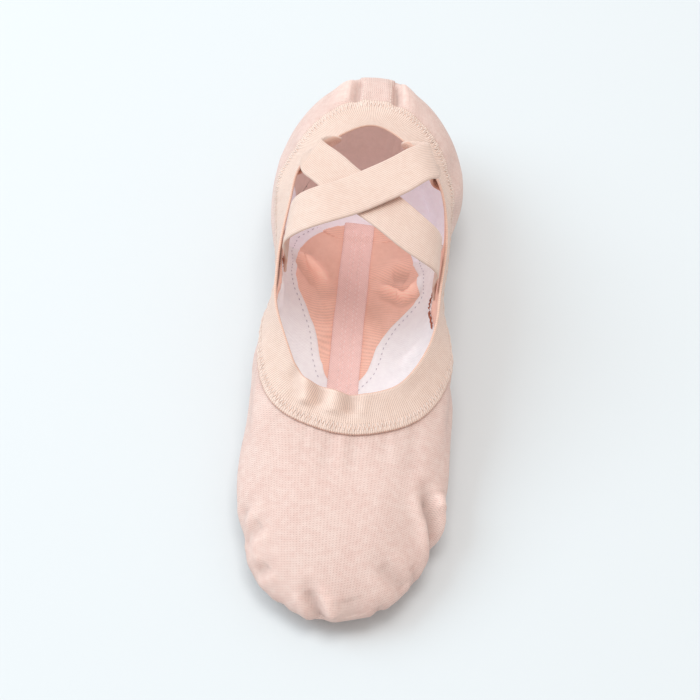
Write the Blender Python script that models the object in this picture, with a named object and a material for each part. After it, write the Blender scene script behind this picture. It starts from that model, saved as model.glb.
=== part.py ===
"""A canvas ballet slipper with a split sole, an elastic collar band and two crossed straps.

Metres, +Z up. The toe points along -Y, the heel along +Y, and the soles rest on Z = 0.
One surface, the outside of the last, carries everything. Its ribs start at the free edge
of the collar, run outwards over the seam of the band, the shoulder, the widest line and
the feather edge, and end on the middle line of the underside. The upper, the band, the
back strip, the tape and the sewn ends of the straps are all worked out from it.
"""

from collections import namedtuple
import math

import bpy
import numpy as np

# The last
SHOE_LENGTH = 0.243
BALL_WIDTH = 0.081
INSTEP_HEIGHT = 0.0375
HEEL_HEIGHT = 0.054
GIRTH_HEIGHT = 0.024
ARCH_RISE = 0.0025
TOE_SPRING = 0.0012
TOE_SPRING_LENGTH = 0.035
UNDERSIDE_SHIFT = 0.0028

# The upper and what is sewn to it
WALL = 0.0014
BAND_WIDTH = 0.015
BAND_LAP = 0.007
BAND_THICKNESS = 0.0011
TAPE_WIDTH = 0.012
TAPE_THICKNESS = 0.0008
STRIP_WIDTH = 0.0145
STRIP_THICKNESS = 0.0007
STRAP_WIDTH = 0.0175
STRAP_THICKNESS = 0.0012
STRAP_HEIGHT = 0.0675
STRAP_SEWN_DEPTH = 0.012

# The soles and insoles
SOLE_THICKNESS = 0.0020
SOLE_CHAMFER = 0.0005
SOLE_INSET = 0.0025
SOLE_LAP = 0.006
FOREFOOT_SOLE_LENGTH = 0.090
HEEL_SOLE_LENGTH = 0.050
SOLE_END_ROUND = 0.018
INSOLE_THICKNESS = 0.0014
INSOLE_MARGIN = 0.0005

GAP = 0.0003
COLUMNS = 80
RIB_LEAD = 0.034
RIB_LEAD_END = 0.34
TIP_HALF_WIDTH = 0.0015

HALF_BALL = BALL_WIDTH / 2
SEAT = SOLE_THICKNESS + GAP

# Rows from the toe to the heel. along is a share of the length, left and right are
# shares of half the ball's width, and angles are in degrees below the horizontal.
CollarRow = namedtuple("CollarRow", "along left right climb fall_left fall_right")
COLLAR = [
    CollarRow(0.331, 0.000, 0.000, 0.00, 22, 22),
    CollarRow(0.339, 0.250, 0.250, 0.02, 23, 23),
    CollarRow(0.353, 0.440, 0.430, 0.07, 27, 27),
    CollarRow(0.389, 0.580, 0.600, 0.20, 37, 37),
    CollarRow(0.428, 0.675, 0.700, 0.34, 51, 49),
    CollarRow(0.467, 0.755, 0.745, 0.45, 68, 65),
    CollarRow(0.520, 0.790, 0.760, 0.55, 86, 82),
    CollarRow(0.600, 0.780, 0.790, 0.68, 84, 86),
    CollarRow(0.680, 0.735, 0.755, 0.80, 66, 76),
    CollarRow(0.735, 0.680, 0.660, 0.90, 52, 56),
    CollarRow(0.785, 0.445, 0.430, 0.98, 26, 26),
    CollarRow(0.820, 0.210, 0.200, 1.00, 9, 9),
    CollarRow(0.834, 0.000, 0.000, 1.00, 5, 5),
]

# height is a share of the heel's girth height, out and down place the shoulder between
# the band's seam and the widest line, tuck is a share of half the ball's width, and
# lift is a share of the arch's rise.
GirthRow = namedtuple("GirthRow", "along left right height out down tuck lift")
GIRTH = [
    GirthRow(0.000, 0.000, 0.000, 0.38, 0.77, 0.47, 0.22, 0.0),
    GirthRow(0.027, 0.510, 0.480, 0.38, 0.76, 0.48, 0.22, 0.0),
    GirthRow(0.060, 0.710, 0.680, 0.40, 0.73, 0.52, 0.22, 0.0),
    GirthRow(0.125, 0.855, 0.870, 0.44, 0.69, 0.54, 0.22, 0.0),
    GirthRow(0.200, 0.955, 0.975, 0.48, 0.65, 0.52, 0.22, 0.0),
    GirthRow(0.290, 0.950, 0.990, 0.57, 0.62, 0.49, 0.23, 0.0),
    GirthRow(0.375, 0.945, 0.990, 0.66, 0.60, 0.44, 0.25, 0.0),
    GirthRow(0.460, 0.935, 0.870, 0.76, 0.55, 0.46, 0.30, 0.6),
    GirthRow(0.525, 0.800, 0.775, 0.83, 0.50, 0.50, 0.33, 1.6),
    GirthRow(0.600, 0.800, 0.785, 0.88, 0.50, 0.50, 0.33, 1.6),
    GirthRow(0.700, 0.940, 0.870, 0.95, 0.56, 0.44, 0.28, 0.6),
    GirthRow(0.788, 0.970, 0.990, 1.00, 0.62, 0.34, 0.23, 0.0),
    GirthRow(0.875, 0.865, 0.910, 1.02, 0.67, 0.26, 0.22, 0.0),
    GirthRow(0.950, 0.595, 0.625, 1.04, 0.70, 0.21, 0.22, 0.0),
    GirthRow(0.984, 0.350, 0.365, 1.04, 0.72, 0.20, 0.22, 0.0),
    GirthRow(1.000, 0.000, 0.000, 1.04, 0.74, 0.20, 0.22, 0.0),
]

# The free part of each strap. across is a share of half the ball's width, along a share
# of the length from its middle, height a share of the straps' height, and turn the
# angle of the strap's width from +Y towards -X.
StrapRow = namedtuple("StrapRow", "across along height turn")
STRAP_OVER = [
    StrapRow(-0.740, 0.1000, 0.795, -3),
    StrapRow(-0.660, 0.1010, 0.885, 6),
    StrapRow(-0.470, 0.1060, 0.960, 18),
    StrapRow(-0.200, 0.1250, 0.980, 25),
    StrapRow(0.090, 0.1560, 0.987, 27),
    StrapRow(0.340, 0.1880, 0.990, 26),
    StrapRow(0.530, 0.2180, 0.970, 20),
    StrapRow(0.615, 0.2380, 0.920, 15),
    StrapRow(0.500, 0.2540, 0.825, 38),
]
STRAP_UNDER = [
    StrapRow(0.735, 0.0730, 0.775, -2),
    StrapRow(0.660, 0.0720, 0.855, -10),
    StrapRow(0.490, 0.0800, 0.920, -24),
    StrapRow(0.250, 0.1050, 0.965, -31),
    StrapRow(0.000, 0.1330, 0.980, -33),
    StrapRow(-0.240, 0.1640, 0.970, -33),
    StrapRow(-0.450, 0.1990, 0.960, -30),
    StrapRow(-0.595, 0.2340, 0.930, -22),
    StrapRow(-0.510, 0.2540, 0.835, -40),
]
StrapEnd = namedtuple("StrapEnd", "along side")


def spline(knots, values, at):
    """Natural cubic spline through values (..., n, k) at rising knots (..., n), read at (..., m)."""
    step = np.diff(knots, axis=-1)
    slope = np.diff(values, axis=-2) / step[..., None]
    count = knots.shape[-1]
    inner = np.arange(1, count - 1)
    system = np.zeros(knots.shape + (count,))
    system[..., 0, 0] = 1
    system[..., -1, -1] = 1
    system[..., inner, inner - 1] = step[..., :-1]
    system[..., inner, inner] = 2 * (step[..., :-1] + step[..., 1:])
    system[..., inner, inner + 1] = step[..., 1:]
    change = np.zeros_like(values)
    change[..., 1:-1, :] = 6 * np.diff(slope, axis=-2)
    bend = np.linalg.solve(system, change)
    piece = (at[..., :, None] >= knots[..., None, 1:-1]).sum(-1)

    def at_piece(table, shift=0):
        if table.ndim == at.ndim:
            return np.take_along_axis(table, piece + shift, -1)[..., None]
        return np.take_along_axis(table, piece[..., None] + shift, -2)

    width = at_piece(step)
    after = (at[..., None] - at_piece(knots)) / width
    before = 1 - after
    chord = before * at_piece(values) + after * at_piece(values, 1)
    curl = (before**3 - before) * at_piece(bend) + (after**3 - after) * at_piece(bend, 1)
    return chord + curl * width**2 / 6


def chord_knots(points):
    """Distance along the chords through points (..., n, 3)."""
    steps = np.linalg.norm(np.diff(points, axis=-2), axis=-1)
    start = np.zeros(steps.shape[:-1] + (1,))
    return np.concatenate([start, np.cumsum(steps, axis=-1)], axis=-1)


def ring(right_rows, left_rows):
    """A closed curve from the toe along the right rows to the heel and back along the left.

    The rows are (n, k) with x, y, z first. It returns a function of the turn, which is 0
    at the toe, 0.5 at the heel and 1 at the toe again, by arc length on each side.
    """
    nodes = np.concatenate([right_rows, left_rows[-2:0:-1]])
    wrap = 4
    order = np.arange(-wrap, len(nodes) + wrap + 1) % len(nodes)
    points = nodes[order]
    knots = chord_knots(points[:, :3])
    toe, heel = knots[wrap], knots[wrap + len(right_rows) - 1]
    end = knots[wrap + len(nodes)]
    sides = []
    for low, high in ((toe, heel), (heel, end)):
        dense = np.linspace(low, high, 400)
        length = chord_knots(spline(knots, points, dense)[:, :3])
        sides.append((dense, length / length[-1]))

    def read(turn):
        turn = np.asarray(turn, float) % 1.0
        right = np.interp(2 * turn, sides[0][1], sides[0][0])
        left = np.interp(2 * turn - 1, sides[1][1], sides[1][0])
        return spline(knots, points, np.where(turn < 0.5, right, left))

    return read


def place(along):
    """The Y of a share of the length, from the toe's tip."""
    return (np.asarray(along, float) - 0.5) * SHOE_LENGTH


def collar_ring():
    """The collar's free edge, with the fall of the band as a fourth value."""
    sides = []
    for sign, column, fall in ((1, "right", "fall_right"), (-1, "left", "fall_left")):
        sides.append(np.array([
            [
                sign * getattr(row, column) * HALF_BALL,
                place(row.along),
                INSTEP_HEIGHT + row.climb * (HEEL_HEIGHT - INSTEP_HEIGHT),
                math.radians(getattr(row, fall)),
            ]
            for row in COLLAR
        ]))
    return ring(*sides)


def girth_ring():
    """The widest line, with out, down, tuck and lift as further values."""
    sides = []
    for sign, column in ((1, "right"), (-1, "left")):
        sides.append(np.array([
            [
                sign * getattr(row, column) * HALF_BALL,
                place(row.along),
                row.height * GIRTH_HEIGHT,
                row.out,
                row.down,
                row.tuck * HALF_BALL,
                row.lift * ARCH_RISE,
            ]
            for row in GIRTH
        ]))
    return ring(*sides)


COLLAR_EDGE = collar_ring()
WIDEST_LINE = girth_ring()


def widest_turn(turn):
    """The turn on the widest line of a rib that starts at a turn on the collar.

    A rib leads towards the heel along the ball, so that it falls nearly straight down
    the side. The lead is a squared sine from the toe to RIB_LEAD_END.
    """
    side = np.minimum(turn, 1 - turn)
    lead = RIB_LEAD * np.sin(math.pi * np.clip(side / RIB_LEAD_END, 0, 1)) ** 2
    return np.where(turn < 0.5, turn + lead, turn - lead)


def outward(curve, turn):
    """The horizontal unit vector out of a ring."""
    step = 1e-4
    along = curve(turn + step)[..., :2] - curve(turn - step)[..., :2]
    out = np.stack([along[..., 1], -along[..., 0], np.zeros(along.shape[:-1])], -1)
    return out / np.linalg.norm(out, axis=-1, keepdims=True)


def spring(y):
    """Height of the toe spring, a quadratic rise over the front of the forefoot sole."""
    toe = place(0) + TOE_SPRING_LENGTH
    return TOE_SPRING * np.clip((toe - y) / TOE_SPRING_LENGTH, 0, 1) ** 2


def seat(y):
    """Lowest height of the upper's outside: on the soles, and arched between them."""
    front, back = sole_gap()
    share = np.clip((y - front) / (back - front), 0, 1)
    return SEAT + spring(y) + ARCH_RISE * np.sin(math.pi * share) ** 2


def feather(turn):
    """The edge where the side turns under, tucked in from the widest line."""
    line = WIDEST_LINE(turn)
    point = line[..., :3] - outward(WIDEST_LINE, turn) * line[..., 5:6]
    point[..., 2] = SOLE_THICKNESS + line[..., 6]
    return point


FEATHER_TURNS = np.linspace(0, 1, 401)
FEATHER_LINE = feather(FEATHER_TURNS)
FEATHER_OUT = outward(WIDEST_LINE, FEATHER_TURNS)


def feather_span():
    """Y of the feather edge's toe and heel."""
    return FEATHER_LINE[:, 1].min(), FEATHER_LINE[:, 1].max()


def sole_gap():
    """Y where the forefoot sole ends and where the heel sole starts."""
    toe, heel = feather_span()
    return toe + SOLE_INSET + FOREFOOT_SOLE_LENGTH, heel - SOLE_INSET - HEEL_SOLE_LENGTH


def ribs(turn):
    """Six points down each rib: collar, band's seam, shoulder, widest, feather, middle."""
    edge = COLLAR_EDGE(turn)
    top = edge[..., :3]
    fall = edge[..., 3:4]
    down = np.array([0.0, 0.0, -1.0])
    seam = top + BAND_WIDTH * (np.cos(fall) * outward(COLLAR_EDGE, turn) + np.sin(fall) * down)
    low_turn = widest_turn(turn % 1.0)
    line = WIDEST_LINE(low_turn)
    widest = line[..., :3]
    share = np.concatenate([line[..., 3:4], line[..., 3:4], line[..., 4:5]], -1)
    shoulder = seam + (widest - seam) * share
    under = feather(low_turn)
    mirrored = feather(1 - low_turn)
    toe, heel = feather_span()
    even = toe + (heel - toe) * (1 - np.abs(1 - 2 * low_turn))
    middle = (under + mirrored) / 2
    bow = np.cos(math.pi * middle[..., 1] / SHOE_LENGTH)
    middle[..., 0] = -UNDERSIDE_SHIFT * bow
    middle[..., 1] = 0.43 * middle[..., 1] + 0.43 * even
    middle[..., 2] = seat(middle[..., 1])
    return np.stack([top, seam, shoulder, widest, under, middle], axis=-2)


COLLAR_LEVEL, SEAM_LEVEL, FEATHER_LEVEL, MIDDLE_LEVEL = 0, 1, 4, 5
CANVAS_LEVEL = 1 - BAND_LAP / BAND_WIDTH


def outside(turn, level):
    """Points of the last's outside at turns (n) and levels (n, m), whole levels being rib points."""
    points = ribs(turn)
    knots = chord_knots(points)
    whole = np.clip(np.floor(level).astype(int), 0, MIDDLE_LEVEL - 1)
    low = np.take_along_axis(knots, whole, -1)
    high = np.take_along_axis(knots, whole + 1, -1)
    surface = spline(knots, points, low + (level - whole) * (high - low))
    surface[..., 2] = np.maximum(surface[..., 2], seat(surface[..., 1]))
    return surface


def shifted(turn, level, distance):
    """The outside moved along its normal by a distance, inwards where it is negative."""
    turn = np.asarray(turn, float)
    level = np.broadcast_to(level, (len(turn), np.shape(level)[-1])).astype(float)
    turn_step, level_step = 2e-3, 0.02
    around = outside(turn + turn_step, level) - outside(turn - turn_step, level)
    lower = np.minimum(level + level_step, MIDDLE_LEVEL)
    upper = np.maximum(level - level_step, 0)
    downwards = outside(turn, lower) - outside(turn, upper)
    normal = np.cross(downwards, around)
    normal[level >= MIDDLE_LEVEL - level_step] = (0.0, 0.0, -1.0)
    normal /= np.linalg.norm(normal, axis=-1, keepdims=True)
    return outside(turn, level) + normal * distance


def make_node(name, points, faces, colour, roughness):
    """A named mesh object with its own Principled material."""
    mesh = bpy.data.meshes.new(name)
    mesh.from_pydata([tuple(p) for p in points], [], faces)
    mesh.shade_smooth()
    mesh.set_sharp_from_angle(angle=math.radians(35))
    material = bpy.data.materials.new(name)
    material.use_nodes = True
    shader = material.node_tree.nodes["Principled BSDF"]
    shader.inputs["Base Color"].default_value = (*colour, 1.0)
    shader.inputs["Roughness"].default_value = roughness
    shader.inputs["Metallic"].default_value = 0.0
    mesh.materials.append(material)
    node = bpy.data.objects.new(name, mesh)
    bpy.context.collection.objects.link(node)
    return node


def loft(sections, closed=False):
    """Points and outward faces of a solid through closed sections (n, p, 3), capped unless closed."""
    count, size = sections.shape[:2]
    points = sections.reshape(-1, 3)
    faces = []
    for i in range(count if closed else count - 1):
        here, there = i * size, (i + 1) % count * size
        for j in range(size):
            k = (j + 1) % size
            faces.append((here + j, there + j, there + k, here + k))
    if not closed:
        faces.append(tuple(range(size)))
        faces.append(tuple(range(count * size - 1, (count - 1) * size - 1, -1)))
    if signed_volume(points, faces) < 0:
        faces = [face[::-1] for face in faces]
    return points, faces


def signed_volume(points, faces):
    """Six times the volume inside the faces, negative where they point inwards."""
    total = 0.0
    for face in faces:
        for j in range(1, len(face) - 1):
            total += np.dot(points[face[0]], np.cross(points[face[j]], points[face[j + 1]]))
    return total


def cut(node, cutter, operation="DIFFERENCE"):
    """A Boolean of the node with a cutter, which stays hidden."""
    cutter.hide_render = True
    cutter.display_type = "WIRE"
    modifier = node.modifiers.new(operation.lower(), "BOOLEAN")
    modifier.operation = operation
    modifier.object = cutter


def make_upper():
    """The canvas upper: a shell between the outside and the same surface one wall in."""
    turn = np.arange(COLUMNS) / COLUMNS
    levels = np.array([CANVAS_LEVEL, 1.0, 1.3, 1.65, 2.0, 2.33, 2.66, 3.0,
                       3.3, 3.6, 3.85, 4.1, 4.4, 4.7, 5.0])
    rows = len(levels)
    outer = shifted(turn, levels, 0.0)
    inner = shifted(turn, levels, -WALL)
    points, index = [], []
    for side in (outer, inner):
        numbers = np.zeros((COLUMNS, rows), int)
        for i in range(COLUMNS):
            for j in range(rows):
                mirror = (COLUMNS - i) % COLUMNS
                if j == rows - 1 and i > mirror:
                    numbers[i, j] = numbers[mirror, j]
                    continue
                numbers[i, j] = len(points)
                points.append(side[i, j])
        index.append(numbers)
    faces = []
    for i in range(COLUMNS):
        k = (i + 1) % COLUMNS
        for j in range(rows - 1):
            a, b = index[0][i, j], index[0][k, j]
            c, d = index[0][k, j + 1], index[0][i, j + 1]
            faces.append((a, d, c, b))
            a, b = index[1][i, j], index[1][k, j]
            c, d = index[1][k, j + 1], index[1][i, j + 1]
            faces.append((a, b, c, d))
        faces.append((index[0][i, 0], index[0][k, 0], index[1][k, 0], index[1][i, 0]))
    if signed_volume(points, faces) < 0:
        faces = [face[::-1] for face in faces]
    return make_node("upper", points, faces, (0.85, 0.64, 0.58), 0.85)


def thin_sections(turn, levels, near, far):
    """Sections across a strip that lies between two distances from the outside."""
    inner = shifted(turn, levels, near)
    outer = shifted(turn, levels, far)
    return np.concatenate([inner, outer[:, ::-1]], axis=1)


def make_band():
    """The elastic collar band, which laps the canvas by its lower edge."""
    turn = np.arange(COLUMNS) / COLUMNS
    levels = np.array([COLLAR_LEVEL, CANVAS_LEVEL / 2, CANVAS_LEVEL, SEAM_LEVEL])
    sections = thin_sections(turn, levels, GAP, GAP + BAND_THICKNESS)
    points, faces = loft(sections, closed=True)
    return make_node("collar_band", points, faces, (0.87, 0.66, 0.56), 0.7)


def turn_at(curve, side, y):
    """The turn at which a ring passes a Y on one side, 1 for the right and -1 for the left."""
    turns = np.linspace(0, 0.5, 401) if side > 0 else np.linspace(1, 0.5, 401)
    return np.interp(y, curve(turns)[:, 1], turns)


def turn_per_metre(turn):
    """How much turn one metre of the collar's edge takes at a turn."""
    step = 1e-3
    edge = COLLAR_EDGE(np.array([turn - step, turn + step]))[:, :3]
    return 2 * step / np.linalg.norm(edge[1] - edge[0])


ACROSS = np.linspace(-0.5, 0.5, 5)


def sewn_lines(end):
    """Lines across a strap's end, from the bottom of its seam to the collar's edge."""
    turn = turn_at(COLLAR_EDGE, end.side, end.along * SHOE_LENGTH)
    turns = turn + end.side * ACROSS * STRAP_WIDTH * turn_per_metre(turn)
    depths = np.array([1.0, 0.6, 0.3]) * STRAP_SEWN_DEPTH
    inset = WALL + 1.5 * GAP + STRAP_THICKNESS / 2
    lines = shifted(turns, depths / BAND_WIDTH, -inset)
    return np.swapaxes(lines, 0, 1)


def free_lines(rows, lift):
    """Lines across the free part of a strap."""
    lines = []
    for row in rows:
        turn = math.radians(row.turn)
        width = np.array([-math.sin(turn), math.cos(turn), 0.0])
        height = row.height * STRAP_HEIGHT + lift
        centre = np.array([row.across * HALF_BALL, row.along * SHOE_LENGTH, height])
        lines.append(centre + ACROSS[:, None] * STRAP_WIDTH * width)
    return np.array(lines)


def make_strap(name, start, rows, end, lift):
    """An elastic strap: sewn inside the collar, over the opening, and sewn inside again."""
    lines = np.concatenate([sewn_lines(start), free_lines(rows, lift), sewn_lines(end)[::-1]])
    middle = len(ACROSS) // 2
    knots = chord_knots(lines[:, middle])
    stations = np.linspace(0, knots[-1], 40)
    flat = lines.reshape(len(lines), -1)
    sheet = spline(knots, flat, stations).reshape(len(stations), len(ACROSS), 3)
    along = np.gradient(sheet, axis=0)
    across = np.gradient(sheet, axis=1)
    normal = np.cross(along, across)
    normal /= np.linalg.norm(normal, axis=-1, keepdims=True)
    low = sheet - normal * STRAP_THICKNESS / 2
    high = sheet + normal * STRAP_THICKNESS / 2
    points, faces = loft(np.concatenate([low, high[:, ::-1]], axis=1))
    return make_node(name, points, faces, (0.87, 0.66, 0.56), 0.7)


def inset_line(inset):
    """The feather edge moved inwards."""
    return FEATHER_LINE - FEATHER_OUT * inset


def patch(inset, inner_end, toe_side):
    """Y stations and left and right edges of a patch under the forefoot or the heel.

    Its outer end follows the feather edge moved in by inset, and its inner end, at the Y
    inner_end, is rounded as an ellipse.
    """
    line = inset_line(inset)
    outer_end = line[:, 1].min() if toe_side else line[:, 1].max()
    half = (inner_end - outer_end) / 2
    angle = np.linspace(0.04, 1, 20) * math.pi
    y = outer_end + half - half * np.cos(angle)
    y[-1] = inner_end
    right = line[: len(line) // 2 + 1]
    left = line[: len(line) // 2 - 1 : -1]
    edges = [np.interp(y, side[:, 1], side[:, 0]) for side in (left, right)]
    middle = (edges[0] + edges[1]) / 2
    from_end = np.clip(np.abs(inner_end - y) / SOLE_END_ROUND, 0, 1)
    close = np.sqrt(1 - (1 - from_end) ** 2)
    half_width = np.maximum((edges[1] - edges[0]) / 2 * close, TIP_HALF_WIDTH)
    return y, middle - half_width, middle + half_width


def plate_sections(outline, bottom, thickness, chamfer=0.0):
    """Sections of a plate over an outline, with its lower edges chamfered."""
    y, left, right = outline
    shares = np.linspace(0, 1, 5)
    bottom_x = left[:, None] + chamfer + (right - left - 2 * chamfer)[:, None] * shares
    top_x = left[:, None] + (right - left)[:, None] * shares[::-1]
    low = bottom(y)[:, None] + 0 * bottom_x
    high = low + thickness
    under = np.stack([bottom_x, y[:, None] + 0 * bottom_x, low], -1)
    over = np.stack([top_x, y[:, None] + 0 * top_x, high], -1)
    rows = [under, over]
    if chamfer:
        corner = np.stack([right, y, bottom(y) + chamfer], -1)[:, None]
        other = np.stack([left, y, bottom(y) + chamfer], -1)[:, None]
        rows = [under, corner, over, other]
    return np.concatenate(rows, axis=1)


def patch_end(toe_side, back_off=0.0):
    """Y of a sole's inner end, moved towards its own middle by back_off."""
    front, back = sole_gap()
    return front - back_off if toe_side else back + back_off


def make_sole(name, toe_side):
    """One suede sole patch, flat on the floor but for the toe spring."""
    outline = patch(SOLE_INSET, patch_end(toe_side), toe_side)
    sections = plate_sections(outline, spring, SOLE_THICKNESS, SOLE_CHAMFER)
    points, faces = loft(sections)
    return make_node(name, points, faces, (0.62, 0.50, 0.45), 0.95)


def inner_floor(y):
    """Height on which an insole lies inside the upper."""
    return seat(y) + WALL + GAP


def open_underside(upper, toe_side):
    """Cuts the hole that a sole closes, one lap inside the sole's edge."""
    outline = patch(SOLE_INSET + SOLE_LAP, patch_end(toe_side, SOLE_LAP), toe_side)
    sections = plate_sections(outline, lambda y: 0 * y, SEAT + WALL + TOE_SPRING + GAP)
    points, faces = loft(sections)
    name = "forefoot_hole" if toe_side else "heel_hole"
    cut(upper, make_node(name, points, faces, (0.5, 0.5, 0.5), 1.0))


def make_insole(name, toe_side):
    """An insole: a plate on the upper's floor and a step that fills the hole below it."""
    plate = patch(SOLE_INSET + INSOLE_MARGIN, patch_end(toe_side, INSOLE_MARGIN), toe_side)
    points, faces = loft(plate_sections(plate, inner_floor, INSOLE_THICKNESS))
    insole = make_node(name, points, faces, (0.45, 0.27, 0.25), 0.9)
    inset = SOLE_INSET + SOLE_LAP + GAP
    step = patch(inset, patch_end(toe_side, SOLE_LAP + GAP), toe_side)
    height = WALL + GAP + INSOLE_THICKNESS / 2
    points, faces = loft(plate_sections(step, seat, height))
    cut(insole, make_node(name + "_step", points, faces, (0.5, 0.5, 0.5), 1.0), "UNION")
    return insole


def make_tape():
    """The tape along the middle of the arch, inside, between the two insoles."""
    front, back = sole_gap()
    y = np.linspace(front - INSOLE_MARGIN + GAP, back + INSOLE_MARGIN - GAP, 24)
    middle = -UNDERSIDE_SHIFT * np.cos(math.pi * y / SHOE_LENGTH)
    outline = (y, middle - TAPE_WIDTH / 2, middle + TAPE_WIDTH / 2)
    points, faces = loft(plate_sections(outline, inner_floor, TAPE_THICKNESS))
    return make_node("arch_tape", points, faces, (0.66, 0.40, 0.36), 0.8)


def make_back_strip():
    """The strip down the back, from the band's seam to the feather edge."""
    sections = []
    for level in np.linspace(SEAM_LEVEL + 0.06, FEATHER_LEVEL - 0.25, 14):
        turn = 0.5 + np.linspace(-0.5, 0.5, 5) * STRIP_WIDTH * heel_turn_per_metre(level)
        inner = shifted(turn, [level], GAP)[:, 0]
        outer = shifted(turn, [level], GAP + STRIP_THICKNESS)[:, 0]
        sections.append(np.concatenate([inner, outer[::-1]]))
    points, faces = loft(np.array(sections))
    return make_node("back_strip", points, faces, (0.83, 0.66, 0.60), 0.85)


def heel_turn_per_metre(level):
    """How much turn one metre across the back of the heel takes at a level."""
    step = 5e-3
    line = outside(np.array([0.5 - step, 0.5 + step]), np.full((2, 1), level))[:, 0]
    return 2 * step / np.linalg.norm(line[1] - line[0])


def build():
    """Every piece of the slipper."""
    for thing in list(bpy.data.objects):
        bpy.data.objects.remove(thing)
    upper = make_upper()
    for toe_side, area in ((True, "forefoot"), (False, "heel")):
        open_underside(upper, toe_side)
        make_sole(area + "_sole", toe_side)
        make_insole(area + "_insole", toe_side)
    make_band()
    make_tape()
    make_back_strip()
    over_lift = STRAP_THICKNESS + 2 * GAP
    make_strap("strap_over", StrapEnd(0.100, -1), STRAP_OVER, StrapEnd(0.270, 1), over_lift)
    make_strap("strap_under", StrapEnd(0.073, 1), STRAP_UNDER, StrapEnd(0.270, -1), 0.0)


build()
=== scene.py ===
"""The looks of a soft canvas ballet slipper: canvas, elastic, lining, tape, suede and thread.

Metres, +Z up, the toe along -Y and the heel along +Y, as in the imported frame. Every cloth
piece lies on one surface, the outside of the last, which is worked out from the same sizes
and rows as the solids. A point of it has a turn, 0 at the toe, 0.5 at the heel and 1 at the
toe again, and a level, 0 at the collar's free edge, 1 at the band's seam, 2 at the
shoulder, 3 at the widest line, 4 at the feather edge and 5 on the middle of the underside.
"""

from dataclasses import dataclass
from enum import Enum
from functools import cached_property
import logging
import math
from typing import Any, Callable, NamedTuple, Sequence

import bpy
from mathutils import Matrix, Vector
import numpy as np


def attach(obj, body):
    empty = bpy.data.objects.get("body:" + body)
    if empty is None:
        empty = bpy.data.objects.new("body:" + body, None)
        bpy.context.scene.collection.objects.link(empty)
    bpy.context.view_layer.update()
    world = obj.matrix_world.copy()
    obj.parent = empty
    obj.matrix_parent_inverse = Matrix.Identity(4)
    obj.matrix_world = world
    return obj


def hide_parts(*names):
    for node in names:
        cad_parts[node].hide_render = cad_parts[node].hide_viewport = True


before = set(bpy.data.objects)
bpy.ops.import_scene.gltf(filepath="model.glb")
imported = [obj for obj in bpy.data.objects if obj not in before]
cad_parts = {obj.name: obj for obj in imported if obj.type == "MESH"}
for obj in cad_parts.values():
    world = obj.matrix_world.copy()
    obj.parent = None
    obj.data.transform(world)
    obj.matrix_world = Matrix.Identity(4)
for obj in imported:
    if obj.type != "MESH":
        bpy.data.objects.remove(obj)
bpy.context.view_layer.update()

Array = np.ndarray
Stitches = tuple[Array, Array, Array]
Waves = tuple[tuple[float, float, float], ...]
Colour = tuple[float, float, float]
LOG = logging.getLogger("slipper")
STITCH_RADIUS = 0.0002
FUZZ_SCALE, NAP_SCALE = 2600.0, 1400.0
FUZZ_SHARE = 0.2
FEATHER_TURNS = np.linspace(0, 1, 801)
DUST_COLOUR = (0.21, 0.17, 0.155, 1)


class CollarRow(NamedTuple):
    """The collar's free edge: share of length, half widths, climb and fall of the band."""

    along: float
    left: float
    right: float
    climb: float
    fall_left: float
    fall_right: float


class GirthRow(NamedTuple):
    """The widest line: share of length, half widths, height, shoulder, tuck and lift."""

    along: float
    left: float
    right: float
    height: float
    out: float
    down: float
    tuck: float
    lift: float


class StrapRow(NamedTuple):
    """The middle of a strap: place across, along and up, and the turn of its width."""

    across: float
    along: float
    height: float
    turn: float


class StrapEnd(NamedTuple):
    """Where a strap is sewn inside the collar: share of length from the middle, and side."""

    along: float
    side: int


class Crease(NamedTuple):
    """A soft trough, or a ridge where depth is negative, along points (turn, level).

    width and depth are in millimetres, and ridge is the share of the depth that the cloth
    rises beside the trough. A crease that starts at an edge doesn't fade in there.
    """

    path: tuple[tuple[float, float], ...]
    width: float
    depth: float
    ridge: float = 0.25
    from_edge: bool = False


class Area(Enum):
    """The two ends of the split sole."""

    FOREFOOT = "forefoot"
    HEEL = "heel"


class Pattern(Enum):
    """How a cloth is made."""

    WEAVE = "weave"
    RIBS = "ribs"
    KNIT = "knit"
    CHECK = "check"
    NAP = "nap"
    THREAD = "thread"


class Lamp(NamedTuple):
    """A square soft light that faces the shoe."""

    name: str
    place: tuple[float, float, float]
    size: float
    power: float
    colour: Colour


# How strongly the threads along the cloth cut up the height of those across it.
CROSS = {
    Pattern.WEAVE: 0.62, Pattern.RIBS: 0.34, Pattern.KNIT: 0.3, Pattern.CHECK: 1.0,
    Pattern.THREAD: 0.0,
}
COLLAR = tuple(CollarRow(*row) for row in (
    (0.331, 0.000, 0.000, 0.00, 22, 22),
    (0.339, 0.250, 0.250, 0.02, 23, 23),
    (0.353, 0.440, 0.430, 0.07, 27, 27),
    (0.389, 0.580, 0.600, 0.20, 37, 37),
    (0.428, 0.675, 0.700, 0.34, 51, 49),
    (0.467, 0.755, 0.745, 0.45, 68, 65),
    (0.520, 0.790, 0.760, 0.55, 86, 82),
    (0.600, 0.780, 0.790, 0.68, 84, 86),
    (0.680, 0.735, 0.755, 0.80, 66, 76),
    (0.735, 0.680, 0.660, 0.90, 52, 56),
    (0.785, 0.445, 0.430, 0.98, 26, 26),
    (0.820, 0.210, 0.200, 1.00, 9, 9),
    (0.834, 0.000, 0.000, 1.00, 5, 5),
))
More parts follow.
